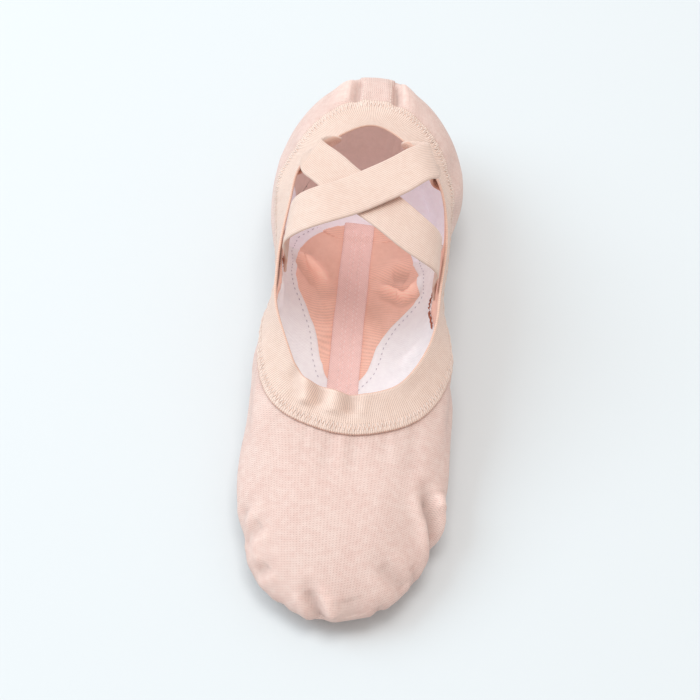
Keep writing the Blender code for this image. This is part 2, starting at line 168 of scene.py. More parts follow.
GIRTH = tuple(GirthRow(*row) for row in (
    (0.000, 0.000, 0.000, 0.38, 0.77, 0.47, 0.22, 0.0),
    (0.027, 0.510, 0.480, 0.38, 0.76, 0.48, 0.22, 0.0),
    (0.060, 0.710, 0.680, 0.40, 0.73, 0.52, 0.22, 0.0),
    (0.125, 0.855, 0.870, 0.44, 0.69, 0.54, 0.22, 0.0),
    (0.200, 0.955, 0.975, 0.48, 0.65, 0.52, 0.22, 0.0),
    (0.290, 0.950, 0.990, 0.57, 0.62, 0.49, 0.23, 0.0),
    (0.375, 0.945, 0.990, 0.66, 0.60, 0.44, 0.25, 0.0),
    (0.460, 0.935, 0.870, 0.76, 0.55, 0.46, 0.30, 0.6),
    (0.525, 0.800, 0.775, 0.83, 0.50, 0.50, 0.33, 1.6),
    (0.600, 0.800, 0.785, 0.88, 0.50, 0.50, 0.33, 1.6),
    (0.700, 0.940, 0.870, 0.95, 0.56, 0.44, 0.28, 0.6),
    (0.788, 0.970, 0.990, 1.00, 0.62, 0.34, 0.23, 0.0),
    (0.875, 0.865, 0.910, 1.02, 0.67, 0.26, 0.22, 0.0),
    (0.950, 0.595, 0.625, 1.04, 0.70, 0.21, 0.22, 0.0),
    (0.984, 0.350, 0.365, 1.04, 0.72, 0.20, 0.22, 0.0),
    (1.000, 0.000, 0.000, 1.04, 0.74, 0.20, 0.22, 0.0),
))
STRAP_OVER = tuple(StrapRow(*row) for row in (
    (-0.740, 0.1000, 0.795, -3),
    (-0.660, 0.1010, 0.885, 6),
    (-0.470, 0.1060, 0.960, 18),
    (-0.200, 0.1250, 0.980, 25),
    (0.090, 0.1560, 0.987, 27),
    (0.340, 0.1880, 0.990, 26),
    (0.530, 0.2180, 0.970, 20),
    (0.610, 0.2370, 0.915, 17),
    (0.490, 0.2610, 0.860, 50),
))
STRAP_UNDER = tuple(StrapRow(*row) for row in (
    (0.735, 0.0730, 0.775, -2),
    (0.660, 0.0720, 0.855, -10),
    (0.490, 0.0800, 0.920, -24),
    (0.250, 0.1050, 0.965, -31),
    (0.000, 0.1330, 0.980, -33),
    (-0.240, 0.1640, 0.970, -33),
    (-0.450, 0.1990, 0.960, -30),
    (-0.590, 0.2330, 0.925, -24),
    (-0.500, 0.2620, 0.872, -52),
))

# Troughs and ridges of the canvas and the band, round the toe, then each side to the heel.
CREASES = tuple(Crease(*row) for row in (
    (((0.985, 2.34), (0.9875, 2.5), (0.9905, 2.66), (0.9938, 2.88), (0.9955, 3.05)),
     2.4, 2.2, 0.45),
    (((0.9985, 2.38), (0.9998, 2.62), (1.0014, 2.86)), 2.4, -0.9, 0.0),
    (((0.01, 2.42), (0.0125, 2.62), (0.014, 2.9)), 4.5, 0.9, 0.2),
    (((0.029, 2.02), (0.037, 2.32), (0.043, 2.56), (0.047, 2.8)), 3.2, 1.2, 0.4),
    (((0.0505, 2.42), (0.0535, 2.62), (0.055, 3.1)), 1.9, 1.0, 0.4),
    (((0.0285, 2.72), (0.03, 2.95), (0.031, 3.4)), 1.8, 0.8, 0.4),
    (((0.069, 1.8), (0.0722, 2.02), (0.0752, 2.28), (0.0756, 2.55), (0.074, 3.1)), 2.7, 3.0, 0.45),
    (((0.085, 2.05), (0.086, 2.45)), 4.2, -1.3, 0.0),
    (((0.103, 2.55), (0.098, 2.95), (0.096, 3.6)), 3.4, 0.6, 0.4),
    (((0.944, 2.02), (0.941, 2.2), (0.937, 2.45), (0.935, 2.8)), 2.8, 1.7, 0.5),
    (((0.958, 2.38), (0.9555, 2.52), (0.95, 2.75)), 2.4, 1.5, 0.5),
    (((0.924, 2.3), (0.925, 2.7), (0.927, 3.2)), 2.8, 1.4, 0.4),
    (((0.97, 2.85), (0.97, 3.1), (0.971, 3.7)), 2.2, 0.6, 0.4),
    (((0.968, 1.04), (0.969, 1.2), (0.971, 1.4)), 3.6, 0.3, 0.4),
    (((0.9855, 1.0), (0.9868, 1.15), (0.9885, 1.36)), 3.2, 0.6, 0.5),
    (((0.005, 1.0), (0.0058, 1.16), (0.0062, 1.3)), 3.2, 0.4, 0.4),
    (((0.029, 1.05), (0.028, 1.25)), 2.6, 0.25, 0.4),
    (((0.056, 1.04), (0.0545, 1.3), (0.053, 1.5)), 3.2, 0.4, 0.3),
    (((0.9455, 0.0), (0.9515, 0.25), (0.957, 0.6)), 3.0, -2.3, 0.1, True),
    (((0.96, 0.0), (0.9635, 0.22), (0.9665, 0.5)), 2.6, 2.0, 0.3, True),
    (((0.982, 0.0), (0.984, 0.3), (0.9855, 0.6)), 3.6, -1.8, 0.1, True),
    (((0.001, 0.0), (0.0005, 0.25), (0.0, 0.5)), 2.6, 2.1, 0.3, True),
    (((0.929, 0.0), (0.932, 0.25)), 2.2, 0.7, 0.3, True),
    (((0.074, 0.05), (0.0755, 0.4)), 4.5, 0.5, 0.2, True),
    (((0.135, 1.25), (0.13, 1.7), (0.128, 2.2)), 4.5, 0.7, 0.3),
    (((0.17, 1.2), (0.165, 1.7), (0.164, 2.3)), 4.0, 0.8, 0.3),
    (((0.205, 1.3), (0.208, 1.9), (0.206, 2.6)), 4.0, 0.9, 0.3),
    (((0.248, 1.4), (0.245, 2.1), (0.242, 2.9)), 4.6, 1.0, 0.3),
    (((0.3, 1.3), (0.305, 1.9), (0.3, 2.7)), 4.6, 0.9, 0.3),
    (((0.35, 1.2), (0.356, 1.7), (0.36, 2.3)), 4.2, 0.7, 0.3),
    (((0.395, 1.1), (0.4, 1.5), (0.41, 2.0)), 4.0, 0.8, 0.35),
    (((0.4795, 1.02), (0.4795, 1.5), (0.48, 2.1)), 3.6, -1.2, 0.1),
    (((0.4896, 1.0), (0.4894, 1.35), (0.4893, 1.9)), 1.7, 2.2, 0.5),
    (((0.5104, 1.0), (0.5104, 1.35), (0.5104, 1.85)), 1.7, 2.0, 0.5),
    (((0.5, 1.15), (0.5, 1.75)), 4.5, -0.9, 0.0),
    (((0.5215, 1.02), (0.5215, 1.5), (0.521, 2.1)), 3.8, -1.4, 0.1),
    (((0.6, 1.12), (0.595, 1.5), (0.59, 2.0)), 4.0, 0.7, 0.3),
    (((0.65, 1.2), (0.645, 1.7), (0.64, 2.3)), 4.4, 0.8, 0.3),
    (((0.7, 1.3), (0.696, 1.9), (0.7, 2.7)), 4.6, 0.9, 0.3),
    (((0.752, 1.4), (0.755, 2.1), (0.758, 2.9)), 4.6, 0.9, 0.3),
    (((0.795, 1.3), (0.793, 1.9), (0.796, 2.6)), 4.2, 0.8, 0.3),
    (((0.835, 1.2), (0.838, 1.7), (0.84, 2.3)), 4.2, 0.7, 0.3),
    (((0.876, 1.25), (0.88, 1.7), (0.882, 2.2)), 4.4, 0.5, 0.3),
))
# Hollows and folds of the inside, where the stretch canvas shows between the linings. A
# depth above zero stands up as seen from inside.
ARCH_CREASES = tuple(Crease(*row) for row in (
    (((0.66, 3.95), (0.6694, 4.16), (0.6792, 4.32), (0.691, 4.44)), 2.6, 2.6, 0.5),
    (((0.656, 4.2), (0.664, 4.42), (0.676, 4.6)), 3.0, 1.2, 0.3),
    (((0.319, 4.6), (0.306, 4.28), (0.297, 3.98), (0.3, 3.8), (0.313, 3.76)), 2.0, 3.0, 0.4),
    (((0.328, 4.4), (0.322, 4.05)), 4.2, -1.9, 0.1),
    (((0.298, 4.72), (0.285, 4.55), (0.27, 4.5)), 4.0, -0.5, 0.2),
    (((0.745, 4.05), (0.74, 4.45), (0.73, 4.8)), 3.2, 0.5, 0.4),
    (((0.72, 4.3), (0.708, 4.6), (0.7, 4.88)), 3.0, 0.5, 0.4),
    (((0.245, 4.4), (0.26, 4.6), (0.27, 4.85)), 3.2, 0.5, 0.4),
    (((0.34, 4.2), (0.335, 4.5), (0.33, 4.8)), 3.0, 0.6, 0.4),
    (((0.212, 3.2), (0.208, 3.65), (0.198, 4.1)), 2.6, -0.8, 0.3),
    (((0.236, 3.45), (0.229, 3.8), (0.221, 4.05)), 2.0, 0.7, 0.4),
    (((0.185, 3.7), (0.176, 4.15), (0.165, 4.45)), 2.6, 0.7, 0.4),
    (((0.78, 3.3), (0.786, 3.8), (0.796, 4.2)), 2.6, 0.6, 0.4),
))
# The frayed upper edge of the white lining, as a level for each turn.
LINING_TOP = (
    (0.000, 0.80), (0.120, 0.85), (0.190, 1.20), (0.222, 2.10), (0.250, 2.20), (0.285, 2.20),
    (0.310, 1.50), (0.350, 1.15), (0.378, 1.50), (0.400, 1.00), (0.500, 0.80), (0.600, 1.00),
    (0.640, 1.40), (0.668, 2.30), (0.700, 2.20), (0.730, 1.30), (0.800, 0.90), (1.000, 0.80),
)
# Where the white lining ends on the arch, as a level for each turn.
LINING_EDGE = (
    (0.000, 5.00), (0.170, 5.00), (0.190, 4.86), (0.200, 4.76), (0.214, 4.62), (0.240, 4.42),
    (0.258, 4.16), (0.272, 3.88), (0.283, 3.68), (0.293, 3.60), (0.320, 3.78), (0.336, 4.08),
    (0.374, 4.56), (0.395, 4.80), (0.412, 4.94), (0.430, 5.00), (0.500, 5.00), (0.570, 5.00),
    (0.588, 4.94), (0.604, 4.76), (0.625, 4.44), (0.650, 4.12), (0.664, 3.92), (0.678, 3.84),
    (0.694, 3.66), (0.710, 3.64), (0.736, 3.92), (0.754, 4.22), (0.779, 4.56), (0.800, 4.70),
    (0.814, 4.82), (0.830, 5.00), (1.000, 5.00),
)


def spline(knots: Array, values: Array, at: Array) -> Array:
    """Natural cubic spline, read at many places.

    On each piece the value is the chord plus a cubic whose second derivatives at the knots
    make the slopes agree, found from one linear system for each curve.

    Args:
        knots: Rising knots (..., n).
        values: Values at the knots (..., n, k).
        at: Where to read (..., m).

    Returns:
        The values (..., m, k).
    """
    step = np.diff(knots, axis=-1)
    slope = np.diff(values, axis=-2) / step[..., None]
    count = knots.shape[-1]
    inner = np.arange(1, count - 1)
    system = np.zeros(knots.shape + (count,))
    system[..., 0, 0] = 1
    system[..., -1, -1] = 1
    system[..., inner, inner - 1] = step[..., :-1]
    system[..., inner, inner] = 2 * (step[..., :-1] + step[..., 1:])
    system[..., inner, inner + 1] = step[..., 1:]
    change = np.zeros_like(values)
    change[..., 1:-1, :] = 6 * np.diff(slope, axis=-2)
    bend = np.linalg.solve(system, change)
    piece = (at[..., :, None] >= knots[..., None, 1:-1]).sum(-1)

    def at_piece(table: Array, shift: int = 0) -> Array:
        """The table's value at each place's piece, or at its end where shift is 1."""
        if table.ndim == at.ndim:
            return np.take_along_axis(table, piece + shift, -1)[..., None]
        return np.take_along_axis(table, piece[..., None] + shift, -2)

    width = at_piece(step)
    after = (at[..., None] - at_piece(knots)) / width
    before = 1 - after
    chord = before * at_piece(values) + after * at_piece(values, 1)
    curl = (before**3 - before) * at_piece(bend) + (after**3 - after) * at_piece(bend, 1)
    return chord + curl * width**2 / 6


def chord_knots(points: Array) -> Array:
    """Distances along the chords through points.

    Args:
        points: Points (..., n, 3).

    Returns:
        The distance from the first point (..., n).
    """
    steps = np.linalg.norm(np.diff(points, axis=-2), axis=-1)
    start = np.zeros(steps.shape[:-1] + (1,))
    return np.concatenate([start, np.cumsum(steps, axis=-1)], axis=-1)


def unit(vectors: Array) -> Array:
    """Vectors (..., 3) at length 1."""
    return vectors / np.maximum(np.linalg.norm(vectors, axis=-1, keepdims=True), 1e-12)


def smooth(low: float, high: float, value: Array) -> Array:
    """Smoothstep: 3 t^2 - 2 t^3 of the share t of the way from low to high."""
    share = np.clip((value - low) / (high - low), 0, 1)
    return share * share * (3 - 2 * share)


def sway(place: Array, waves: Waves) -> Array:
    """An uneven swing: the sum of size sin(rate place + phase) over waves of these three."""
    return sum(size * np.sin(rate * place + phase) for size, rate, phase in waves)


class Ring:
    """A closed curve from the toe along the right rows to the heel and back on the left."""

    def __init__(self, right: Array, left: Array) -> None:
        """Fits the curve.

        Args:
            right: Rows (n, k) from toe to heel, x, y, z first.
            left: The same for the left side.
        """
        nodes = np.concatenate([right, left[-2:0:-1]])
        wrap, samples = 4, 400
        order = np.arange(-wrap, len(nodes) + wrap + 1) % len(nodes)
        self.points = nodes[order]
        self.knots = chord_knots(self.points[:, :3])
        toe, heel = self.knots[wrap], self.knots[wrap + len(right) - 1]
        end = self.knots[wrap + len(nodes)]
        self.sides = []
        for low, high in ((toe, heel), (heel, end)):
            dense = np.linspace(low, high, samples)
            length = chord_knots(spline(self.knots, self.points, dense)[:, :3])
            self.sides.append((dense, length / length[-1]))

    def __call__(self, turn: Array) -> Array:
        """The curve's values at turns, by arc length on each side."""
        turn = np.asarray(turn, float) % 1.0
        right = np.interp(2 * turn, self.sides[0][1], self.sides[0][0])
        left = np.interp(2 * turn - 1, self.sides[1][1], self.sides[1][0])
        return spline(self.knots, self.points, np.where(turn < 0.5, right, left))

    def outward(self, turn: Array) -> Array:
        """The horizontal unit vector out of the curve: its tangent turned by a quarter."""
        along = self(turn + 1e-4)[..., :2] - self(turn - 1e-4)[..., :2]
        out = np.stack([along[..., 1], -along[..., 0], np.zeros(along.shape[:-1])], -1)
        return unit(out)


@dataclass
class Last:
    """The form that the slipper is made on, and every place on it."""

    length: float = 0.243
    ball_width: float = 0.081
    instep_height: float = 0.0375
    heel_height: float = 0.054
    girth_height: float = 0.024
    arch_rise: float = 0.0025
    toe_spring: float = 0.0012
    spring_length: float = 0.035
    underside_shift: float = 0.0028
    band_width: float = 0.015
    band_lap: float = 0.007
    sole: float = 0.0020
    sole_inset: float = 0.0025
    forefoot_sole: float = 0.090
    heel_sole: float = 0.050
    sole_end_round: float = 0.018
    wall: float = 0.0014
    gap: float = 0.0003
    rib_lead: float = 0.034
    rib_lead_end: float = 0.34
    middle_share: float = 0.43

    @property
    def half(self) -> float:
        """Half the ball's width."""
        return self.ball_width / 2

    @property
    def canvas_level(self) -> float:
        """The level of the canvas's upper edge, under the band."""
        return 1 - self.band_lap / self.band_width

    def place(self, along: float) -> float:
        """The Y of a share of the length."""
        return (along - 0.5) * self.length

    def ring(self, rows: Sequence[Any], values: Callable[[Any, str], list[float]]) -> Ring:
        """A ring through rows that hold their place along and a width on each side.

        Args:
            rows: The rows from toe to heel.
            values: Gives what follows x and y for a row and the name of a side.

        Returns:
            The ring.
        """
        sides = (
            [[sign * getattr(row, side) * self.half, self.place(row.along), *values(row, side)]
             for row in rows]
            for side, sign in (("right", 1), ("left", -1))
        )
        return Ring(*map(np.array, sides))

    @cached_property
    def collar(self) -> Ring:
        """The collar's free edge, with the fall of the band as a fourth value."""
        climb = self.heel_height - self.instep_height

        def values(row: CollarRow, side: str) -> list[float]:
            """Height and fall, in radians."""
            fall = getattr(row, f"fall_{side}")
            return [self.instep_height + row.climb * climb, math.radians(fall)]

        return self.ring(COLLAR, values)

    @cached_property
    def girth(self) -> Ring:
        """The widest line, with out, down, tuck and lift as further values."""
        def values(row: GirthRow, _: str) -> list[float]:
            """Height, shares of the shoulder, tuck and lift."""
            height, tuck = row.height * self.girth_height, row.tuck * self.half
            return [height, row.out, row.down, tuck, row.lift * self.arch_rise]

        return self.ring(GIRTH, values)

    def widest_turn(self, turn: Array) -> Array:
        """The turn on the widest line of a rib: it leads by a squared sine along the ball."""
        side = np.minimum(turn, 1 - turn)
        share = np.clip(side / self.rib_lead_end, 0, 1)
        lead = self.rib_lead * np.sin(math.pi * share) ** 2
        return np.where(turn < 0.5, turn + lead, turn - lead)

    def spring(self, y: Array) -> Array:
        """Height of the toe spring, a quadratic rise."""
        toe = self.place(0) + self.spring_length
        return self.toe_spring * np.clip((toe - y) / self.spring_length, 0, 1) ** 2

    def feather(self, turn: Array) -> Array:
        """The edge where the side turns under, tucked in from the widest line."""
        line = self.girth(turn)
        point = line[..., :3] - self.girth.outward(turn) * line[..., 5:6]
        point[..., 2] = self.sole + line[..., 6]
        return point

    @cached_property
    def feather_line(self) -> Array:
        """Points of the feather edge at even turns, the heel's in the middle."""
        return self.feather(FEATHER_TURNS)

    @cached_property
    def feather_out(self) -> Array:
        """The outward direction at each point of feather_line."""
        return self.girth.outward(FEATHER_TURNS)

    @cached_property
    def ends(self) -> tuple[float, float]:
        """Y of the feather edge at the toe and at the heel."""
        return self.feather_line[:, 1].min(), self.feather_line[:, 1].max()

    @cached_property
    def sole_gap(self) -> tuple[float, float]:
        """Y where the forefoot sole ends and where the heel sole starts."""
        toe, heel = self.ends
        front = toe + self.sole_inset + self.forefoot_sole
        return front, heel - self.sole_inset - self.heel_sole

    def seat(self, y: Array) -> Array:
        """Lowest height of the upper's outside: on the soles, and arched between them."""
        front, back = self.sole_gap
        share = np.clip((y - front) / (back - front), 0, 1)
        arch = self.arch_rise * np.sin(math.pi * share) ** 2
        return self.sole + self.gap + self.spring(y) + arch

    def floor(self, y: Array) -> Array:
        """Height of what lies on the canvas inside the shoe."""
        return self.seat(y) + self.wall + self.gap

    def ribs(self, turn: Array) -> Array:
        """Six points down each rib: collar, seam, shoulder, widest, feather, middle.

        Args:
            turn: Turns (n).

        Returns:
            Points (n, 6, 3).
        """
        edge = self.collar(turn)
        top, fall = edge[..., :3], edge[..., 3:4]
        down = np.array([0.0, 0.0, -1.0])
        slope = np.cos(fall) * self.collar.outward(turn) + np.sin(fall) * down
        seam = top + self.band_width * slope
        low_turn = self.widest_turn(turn % 1.0)
        line = self.girth(low_turn)
        widest = line[..., :3]
        share = np.concatenate([line[..., 3:4], line[..., 3:4], line[..., 4:5]], -1)
        shoulder = seam + (widest - seam) * share
        under = self.feather(low_turn)
        toe, heel = self.ends
        even = toe + (heel - toe) * (1 - np.abs(1 - 2 * low_turn))
        middle = (under + self.feather(1 - low_turn)) / 2
        bow = np.cos(math.pi * middle[..., 1] / self.length)
        middle[..., 0] = -self.underside_shift * bow
        middle[..., 1] = self.middle_share * (middle[..., 1] + even)
        middle[..., 2] = self.seat(middle[..., 1])
        return np.stack([top, seam, shoulder, widest, under, middle], axis=-2)

    def outside(self, turn: Array, level: Array) -> Array:
        """Points of the last's outside: a spline down each rib, read between its points.

        Args:
            turn: Turns (n).
            level: Levels (n, m).

        Returns:
            Points (n, m, 3).
        """
        points = self.ribs(turn)
        knots = chord_knots(points)
        whole = np.clip(np.floor(level).astype(int), 0, 4)
        low = np.take_along_axis(knots, whole, -1)
        high = np.take_along_axis(knots, whole + 1, -1)
        surface = spline(knots, points, low + (level - whole) * (high - low))
        surface[..., 2] = np.maximum(surface[..., 2], self.seat(surface[..., 1]))
        return surface

    def normals(self, turn: Array, level: Array) -> Array:
        """Outward unit normals, the cross product of differences down and around."""
        turn_step, level_step = 2e-3, 0.02
        around = self.outside(turn + turn_step, level) - self.outside(turn - turn_step, level)
        lower = np.minimum(level + level_step, 5)
        upper = np.maximum(level - level_step, 0)
        downwards = self.outside(turn, lower) - self.outside(turn, upper)
        normal = np.cross(downwards, around)
        normal[level >= 5 - level_step] = (0.0, 0.0, -1.0)
        return unit(normal)


@dataclass
class Cloth:
    """The last's outside with the creases and gathers of the sewn canvas on it."""

    last: Last
    creases: tuple[Crease, ...] = CREASES
    gather_depth: float = 0.00050
    gather_pitch: float = 0.0068
    gather_drift: Waves = ((0.9, 97, 0), (0.6, 231, 1))
    gather_swing: float = 2.2
    gather_strength: Waves = ((0.65, 0, math.pi / 2), (0.35, 143, 2))
    gather_ends: tuple[float, ...] = (0.10, 0.17, 0.40, 0.45)
    gather_levels: tuple[float, ...] = (3.0, 3.6, 4.05, 4.45)
    pucker_depth: float = 0.00016
    pucker_pitch: float = 0.0052
    pucker_drift: Waves = ((2.0, 120, 0), (1.4, 260, 2))
    pucker_levels: tuple[float, ...] = (0.5, 0.9, 1.0, 1.45)
    feather_round: float = 0.56
    collar_round: float = 0.37
    deepest: float = 0.0030
    crease_shade_limit: float = 2.5
    ridge_place: float = 1.9
    ridge_spread: float = 0.8
    fade: float = 0.2
    faded: float = 0.25

    def trough(self, crease: Crease, points: Array) -> Array:
        """Height of one crease at points.

        With d the distance to the crease's line over its width, the height is
        depth times (ridge e^(-(d - ridge_place)^2 / ridge_spread) - e^(-d^2)). It is faded
        in over the first share of the line's length, fade, and out over the last.

        Args:
            crease: The crease.
            points: Points (n, m, 3) of the smooth last.

        Returns:
            Heights (n, m) in metres.
        """
        samples, reach = 9, 4 * crease.width / 1000
        path = np.array(crease.path)
        share = np.linspace(0, 1, samples)
        steps = np.linspace(0, 1, len(path))
        turn = np.interp(share, steps, path[:, 0])
        level = np.interp(share, steps, path[:, 1])
        line = self.last.outside(turn, level[:, None])[:, 0]
        height = np.zeros(points.shape[:-1])
        near = np.all((points > line.min(0) - reach) & (points < line.max(0) + reach), -1)
        close = points[near]
        if not len(close):
            return height
        start, leg = line[:-1], np.diff(line, axis=0)
        along = ((close[:, None] - start) * leg).sum(-1) / (leg * leg).sum(-1)
        along = np.clip(along, 0, 1)
        foot = start + along[..., None] * leg
        away = np.linalg.norm(close[:, None] - foot, axis=-1)
        nearest = away.argmin(1)
        d = away.min(1) / (crease.width / 1000)
        place = (nearest + np.take_along_axis(along, nearest[:, None], 1)[:, 0]) / len(leg)
        rest = 1 - self.faded
        begin = 1.0 if crease.from_edge else self.faded + rest * smooth(0, self.fade, place)
        strength = begin * (self.faded + rest * smooth(1, 1 - self.fade, place))
        beside = np.exp(-((d - self.ridge_place) ** 2) / self.ridge_spread)
        height[near] = crease.depth / 1000 * strength * (crease.ridge * beside - np.exp(-d * d))
        return height

    def gathers(self, turn: Array, level: Array) -> Array:
        """Small pleats where the canvas is drawn in under the toe and the heel.

        A cosine along the feather edge, its pitch drifting with two slow sines, is faded in
        below the widest line and out along the arch.
        """
        side = np.minimum(turn, 1 - turn)
        metres = turn * self.feather_round
        drift = sway(metres, self.gather_drift)
        wave = np.cos(2 * math.pi * metres / self.gather_pitch + self.gather_swing * drift)
        strong = sway(metres, self.gather_strength)
        toe, toe_end, heel_start, heel = self.gather_ends
        ends = 1 - smooth(toe, toe_end, side) + smooth(heel_start, heel, side)
        first, full, fading, last = self.gather_levels
        low = smooth(first, full, level) * (1 - smooth(fading, last, level))
        return self.gather_depth * (wave - 0.25) * strong * ends * low

    def puckers(self, turn: Array, level: Array) -> Array:
        """Faint ripples that the band's seam draws into the canvas, fading within 10 mm."""
        metres = turn * self.collar_round
        drift = sway(metres, self.pucker_drift)
        wave = np.cos(2 * math.pi * metres / self.pucker_pitch + drift)
        first, full, fading, last = self.pucker_levels
        shown = smooth(first, full, level) * (1 - smooth(fading, last, level))
        return self.pucker_depth * wave * shown

    def relief(self, turn: Array, level: Array, points: Array) -> Array:
        """Height of all creases, gathers and puckers at points of the smooth last.

        Args:
            turn: Turns (n).
            level: Levels (n, m).
            points: The points (n, m, 3) at them.

        Returns:
            Heights (n, m) in metres along the normal.
        """
        column = turn[:, None] % 1.0
        height = self.gathers(column, level) + self.puckers(column, level)
        for crease in self.creases:
            height = height + self.trough(crease, points)
        return np.maximum(height, -self.deepest) * smooth(5.0, 4.4, level)

    def surface(self, turn: Array, level: Array, distance: float | Array = 0.0) -> Array:
        """Points of the creased cloth: last + normal x (relief + distance).

        Args:
            turn: Turns (n).
            level: Levels (m) or (n, m).
            distance: How far off the cloth's outside, inwards where it is negative.

        Returns:
            Points (n, m, 3).
        """
        turn = np.asarray(turn, float)
        level = np.broadcast_to(level, (len(turn), np.shape(level)[-1])).astype(float)
        points = self.last.outside(turn, level)
        height = self.relief(turn, level, points) + distance
        return points + self.last.normals(turn, level) * height[..., None]

    def painted_crease_shade(self, turn: Array, level: Array) -> Array:
        """Height of the creases in millimetres, kept within crease_shade_limit, at turns and
        levels: the painted shade and highlight of the creases.
        """
        level = np.broadcast_to(level, (len(turn), np.shape(level)[-1])).astype(float)
        height = self.relief(turn, level, self.last.outside(turn, level))
        return np.clip(height * 1000, -self.crease_shade_limit, self.crease_shade_limit)

    def along(self, turn: Array, level: Array, distance: float | Array = 0.0) -> Array:
        """Points of the cloth at pairs of turn (n) and level (n)."""
        distance = np.broadcast_to(distance, np.shape(turn))[:, None]
        return self.surface(turn, np.asarray(level)[:, None], distance)[:, 0]

    def line(self, turn: Array, level: Array, distance: float, side: int = 1) -> Array:
        """Points of along with the last's normals (n, 6), inward ones where side is -1."""
        normals = side * self.last.normals(turn, level[:, None])[:, 0]
        return np.concatenate([self.along(turn, level, distance), normals], -1)

    def cloth_map(self, turn: Array, level: Array) -> Array:
        """Flat coordinates of the canvas along and across: the plan, with its sides laid out.

        Args:
            turn: Turns (n).
            level: Levels (n, m).

        Returns:
            Coordinates (n, m, 2) in metres.
        """
        points = self.last.outside(turn, level)
        seam = self.last.ribs(turn)[:, 1]
        drop = np.abs(seam[:, None, 2] - points[..., 2])
        out = self.last.girth.outward(self.last.widest_turn(turn % 1.0))[:, None, :2]
        return (points[..., :2] + out * drop[..., None])[..., ::-1]


def make_mesh(
    name: str, points: Array, quads: Array, uv: Array, painted_crease_shade: Array | None = None
) -> bpy.types.Object:
    """A smooth mesh object from arrays.

    Args:
        name: The piece's name.
        points: Points (n, 3).
        quads: Corners of the faces (f, 4), counted from 0 and turning outwards.
        uv: Map coordinates of each corner (f, 4, 2), in metres.
        painted_crease_shade: Height of the creases at each point (n) in millimetres, for the
            painted shade and highlight of the creases.

    Returns:
        The object, linked to the scene.
    """
    used, quads = np.unique(quads, return_inverse=True)
    quads = quads.reshape(-1, 4)
    mesh = bpy.data.meshes.new(name)
    mesh.vertices.add(len(used))
    mesh.vertices.foreach_set("co", points[used].astype(np.float32).ravel())
    mesh.loops.add(quads.size)
    mesh.loops.foreach_set("vertex_index", quads.astype(np.int32).ravel())
    mesh.polygons.add(len(quads))
    mesh.polygons.foreach_set("loop_start", np.arange(0, quads.size, 4, dtype=np.int32))
    mesh.update(calc_edges=True)
    layer = mesh.uv_layers.new(name="cloth")
    layer.data.foreach_set("uv", uv.astype(np.float32).ravel())
    if painted_crease_shade is not None:
        heights = mesh.attributes.new("painted_crease_shade", "FLOAT", "POINT")
        heights.data.foreach_set("value", painted_crease_shade[used].astype(np.float32))
    mesh.validate()
    mesh.shade_smooth()
    piece = bpy.data.objects.new(name, mesh)
    bpy.context.collection.objects.link(piece)
    return piece


def grid_quads(
    numbers: Array, closed_rows: bool, closed_columns: bool
) -> tuple[Array, Array, Array]:
    """Faces between neighbours on a grid of vertex numbers.

    Args:
        numbers: Vertex numbers (n, m).
        closed_rows: True if the last row joins the first.
        closed_columns: True if the last column joins the first.

    Returns:
        Corners (f, 4), and each corner's row and column (f, 4) counted without a wrap.
    """
    count, size = numbers.shape
    i, j = np.meshgrid(
        np.arange(count if closed_rows else count - 1),
        np.arange(size if closed_columns else size - 1),
        indexing="ij",
    )
    rows = np.stack([i, i + 1, i + 1, i], -1).reshape(-1, 4)
    columns = np.stack([j, j, j + 1, j + 1], -1).reshape(-1, 4)
    return numbers[rows % count, columns % size], rows, columns


def outward_quads(points: Array, quads: Array) -> Array:
    """The faces, turned round if they enclose a negative volume: the sum of a . (b x c)."""
    a, b, c, d = (points[quads[:, k]] for k in range(4))
    volume = (a * np.cross(b, c)).sum() + (a * np.cross(c, d)).sum()
    return quads if volume > 0 else quads[:, ::-1]


def loft(
    name: str, sections: Array, uv: Array, closed: bool = False, painted_crease_shade: Array | None = None
) -> bpy.types.Object:
    """A closed body through closed sections.

    Args:
        name: The piece's name.
        sections: Sections (n, p, 3), p even.
        uv: Map coordinates (n, p, 2), or (n + 1, p, 2) where the body is closed to a ring.
        closed: True if the last section joins the first.
        painted_crease_shade: Height of the creases (n, p) in millimetres, for the painted shade
            and highlight of the creases.

    Returns:
        The object.
    """
    count, size = sections.shape[:2]
    points = sections.reshape(-1, 3)
    numbers = np.arange(count * size).reshape(count, size)
    quads, rows, columns = grid_quads(numbers, closed, True)
    corner_uv = uv[rows, columns % size]
    if not closed:
        half = np.arange(size // 2 - 1)
        strip = np.stack([half, half + 1, size - 2 - half, size - 1 - half], -1)
        last = (count - 1) * size
        quads = np.concatenate([quads, strip[:, ::-1], strip + last])
        flat_uv = uv[:count].reshape(-1, 2)
        corner_uv = np.concatenate([corner_uv, flat_uv[strip[:, ::-1]], flat_uv[strip + last]])
    turned = outward_quads(points, quads)
    if turned is not quads:
        corner_uv = corner_uv[:, ::-1]
    return make_mesh(name, points, turned, corner_uv, None if painted_crease_shade is None else painted_crease_shade.ravel())


def sheet_sections(near: Array, far: Array) -> Array:
    """Sections of a sheet between two grids (n, m, 3), with rounded long edges.

    Each long edge gets one more point, half a thickness out from the middle of the edge.
    """
    def edge(end: int, inner: int) -> Array:
        """The rounded nose at one long edge."""
        middle = (near[:, end] + far[:, end]) / 2
        thick = np.linalg.norm(near[:, end] - far[:, end], axis=-1, keepdims=True)
        away = unit(near[:, end] - near[:, inner])
        return (middle + away * thick * 0.42)[:, None]

    return np.concatenate([near, edge(-1, -2), far[:, ::-1], edge(0, 1)], axis=1)


def sheet_values(near: Array, far: Array) -> Array:
    """Values at the points of sheet_sections, from those on its two grids (n, m, ...)."""
    return np.concatenate([near, far[:, -1:], far[:, ::-1], far[:, :1]], axis=1)


def sheet_uv(along: Array, across: Array) -> Array:
    """Map coordinates of sheet_sections, in metres, for along and across: (n, m), or less."""
    flat = np.stack(np.broadcast_arrays(along, across), -1)
    return sheet_values(flat, flat)


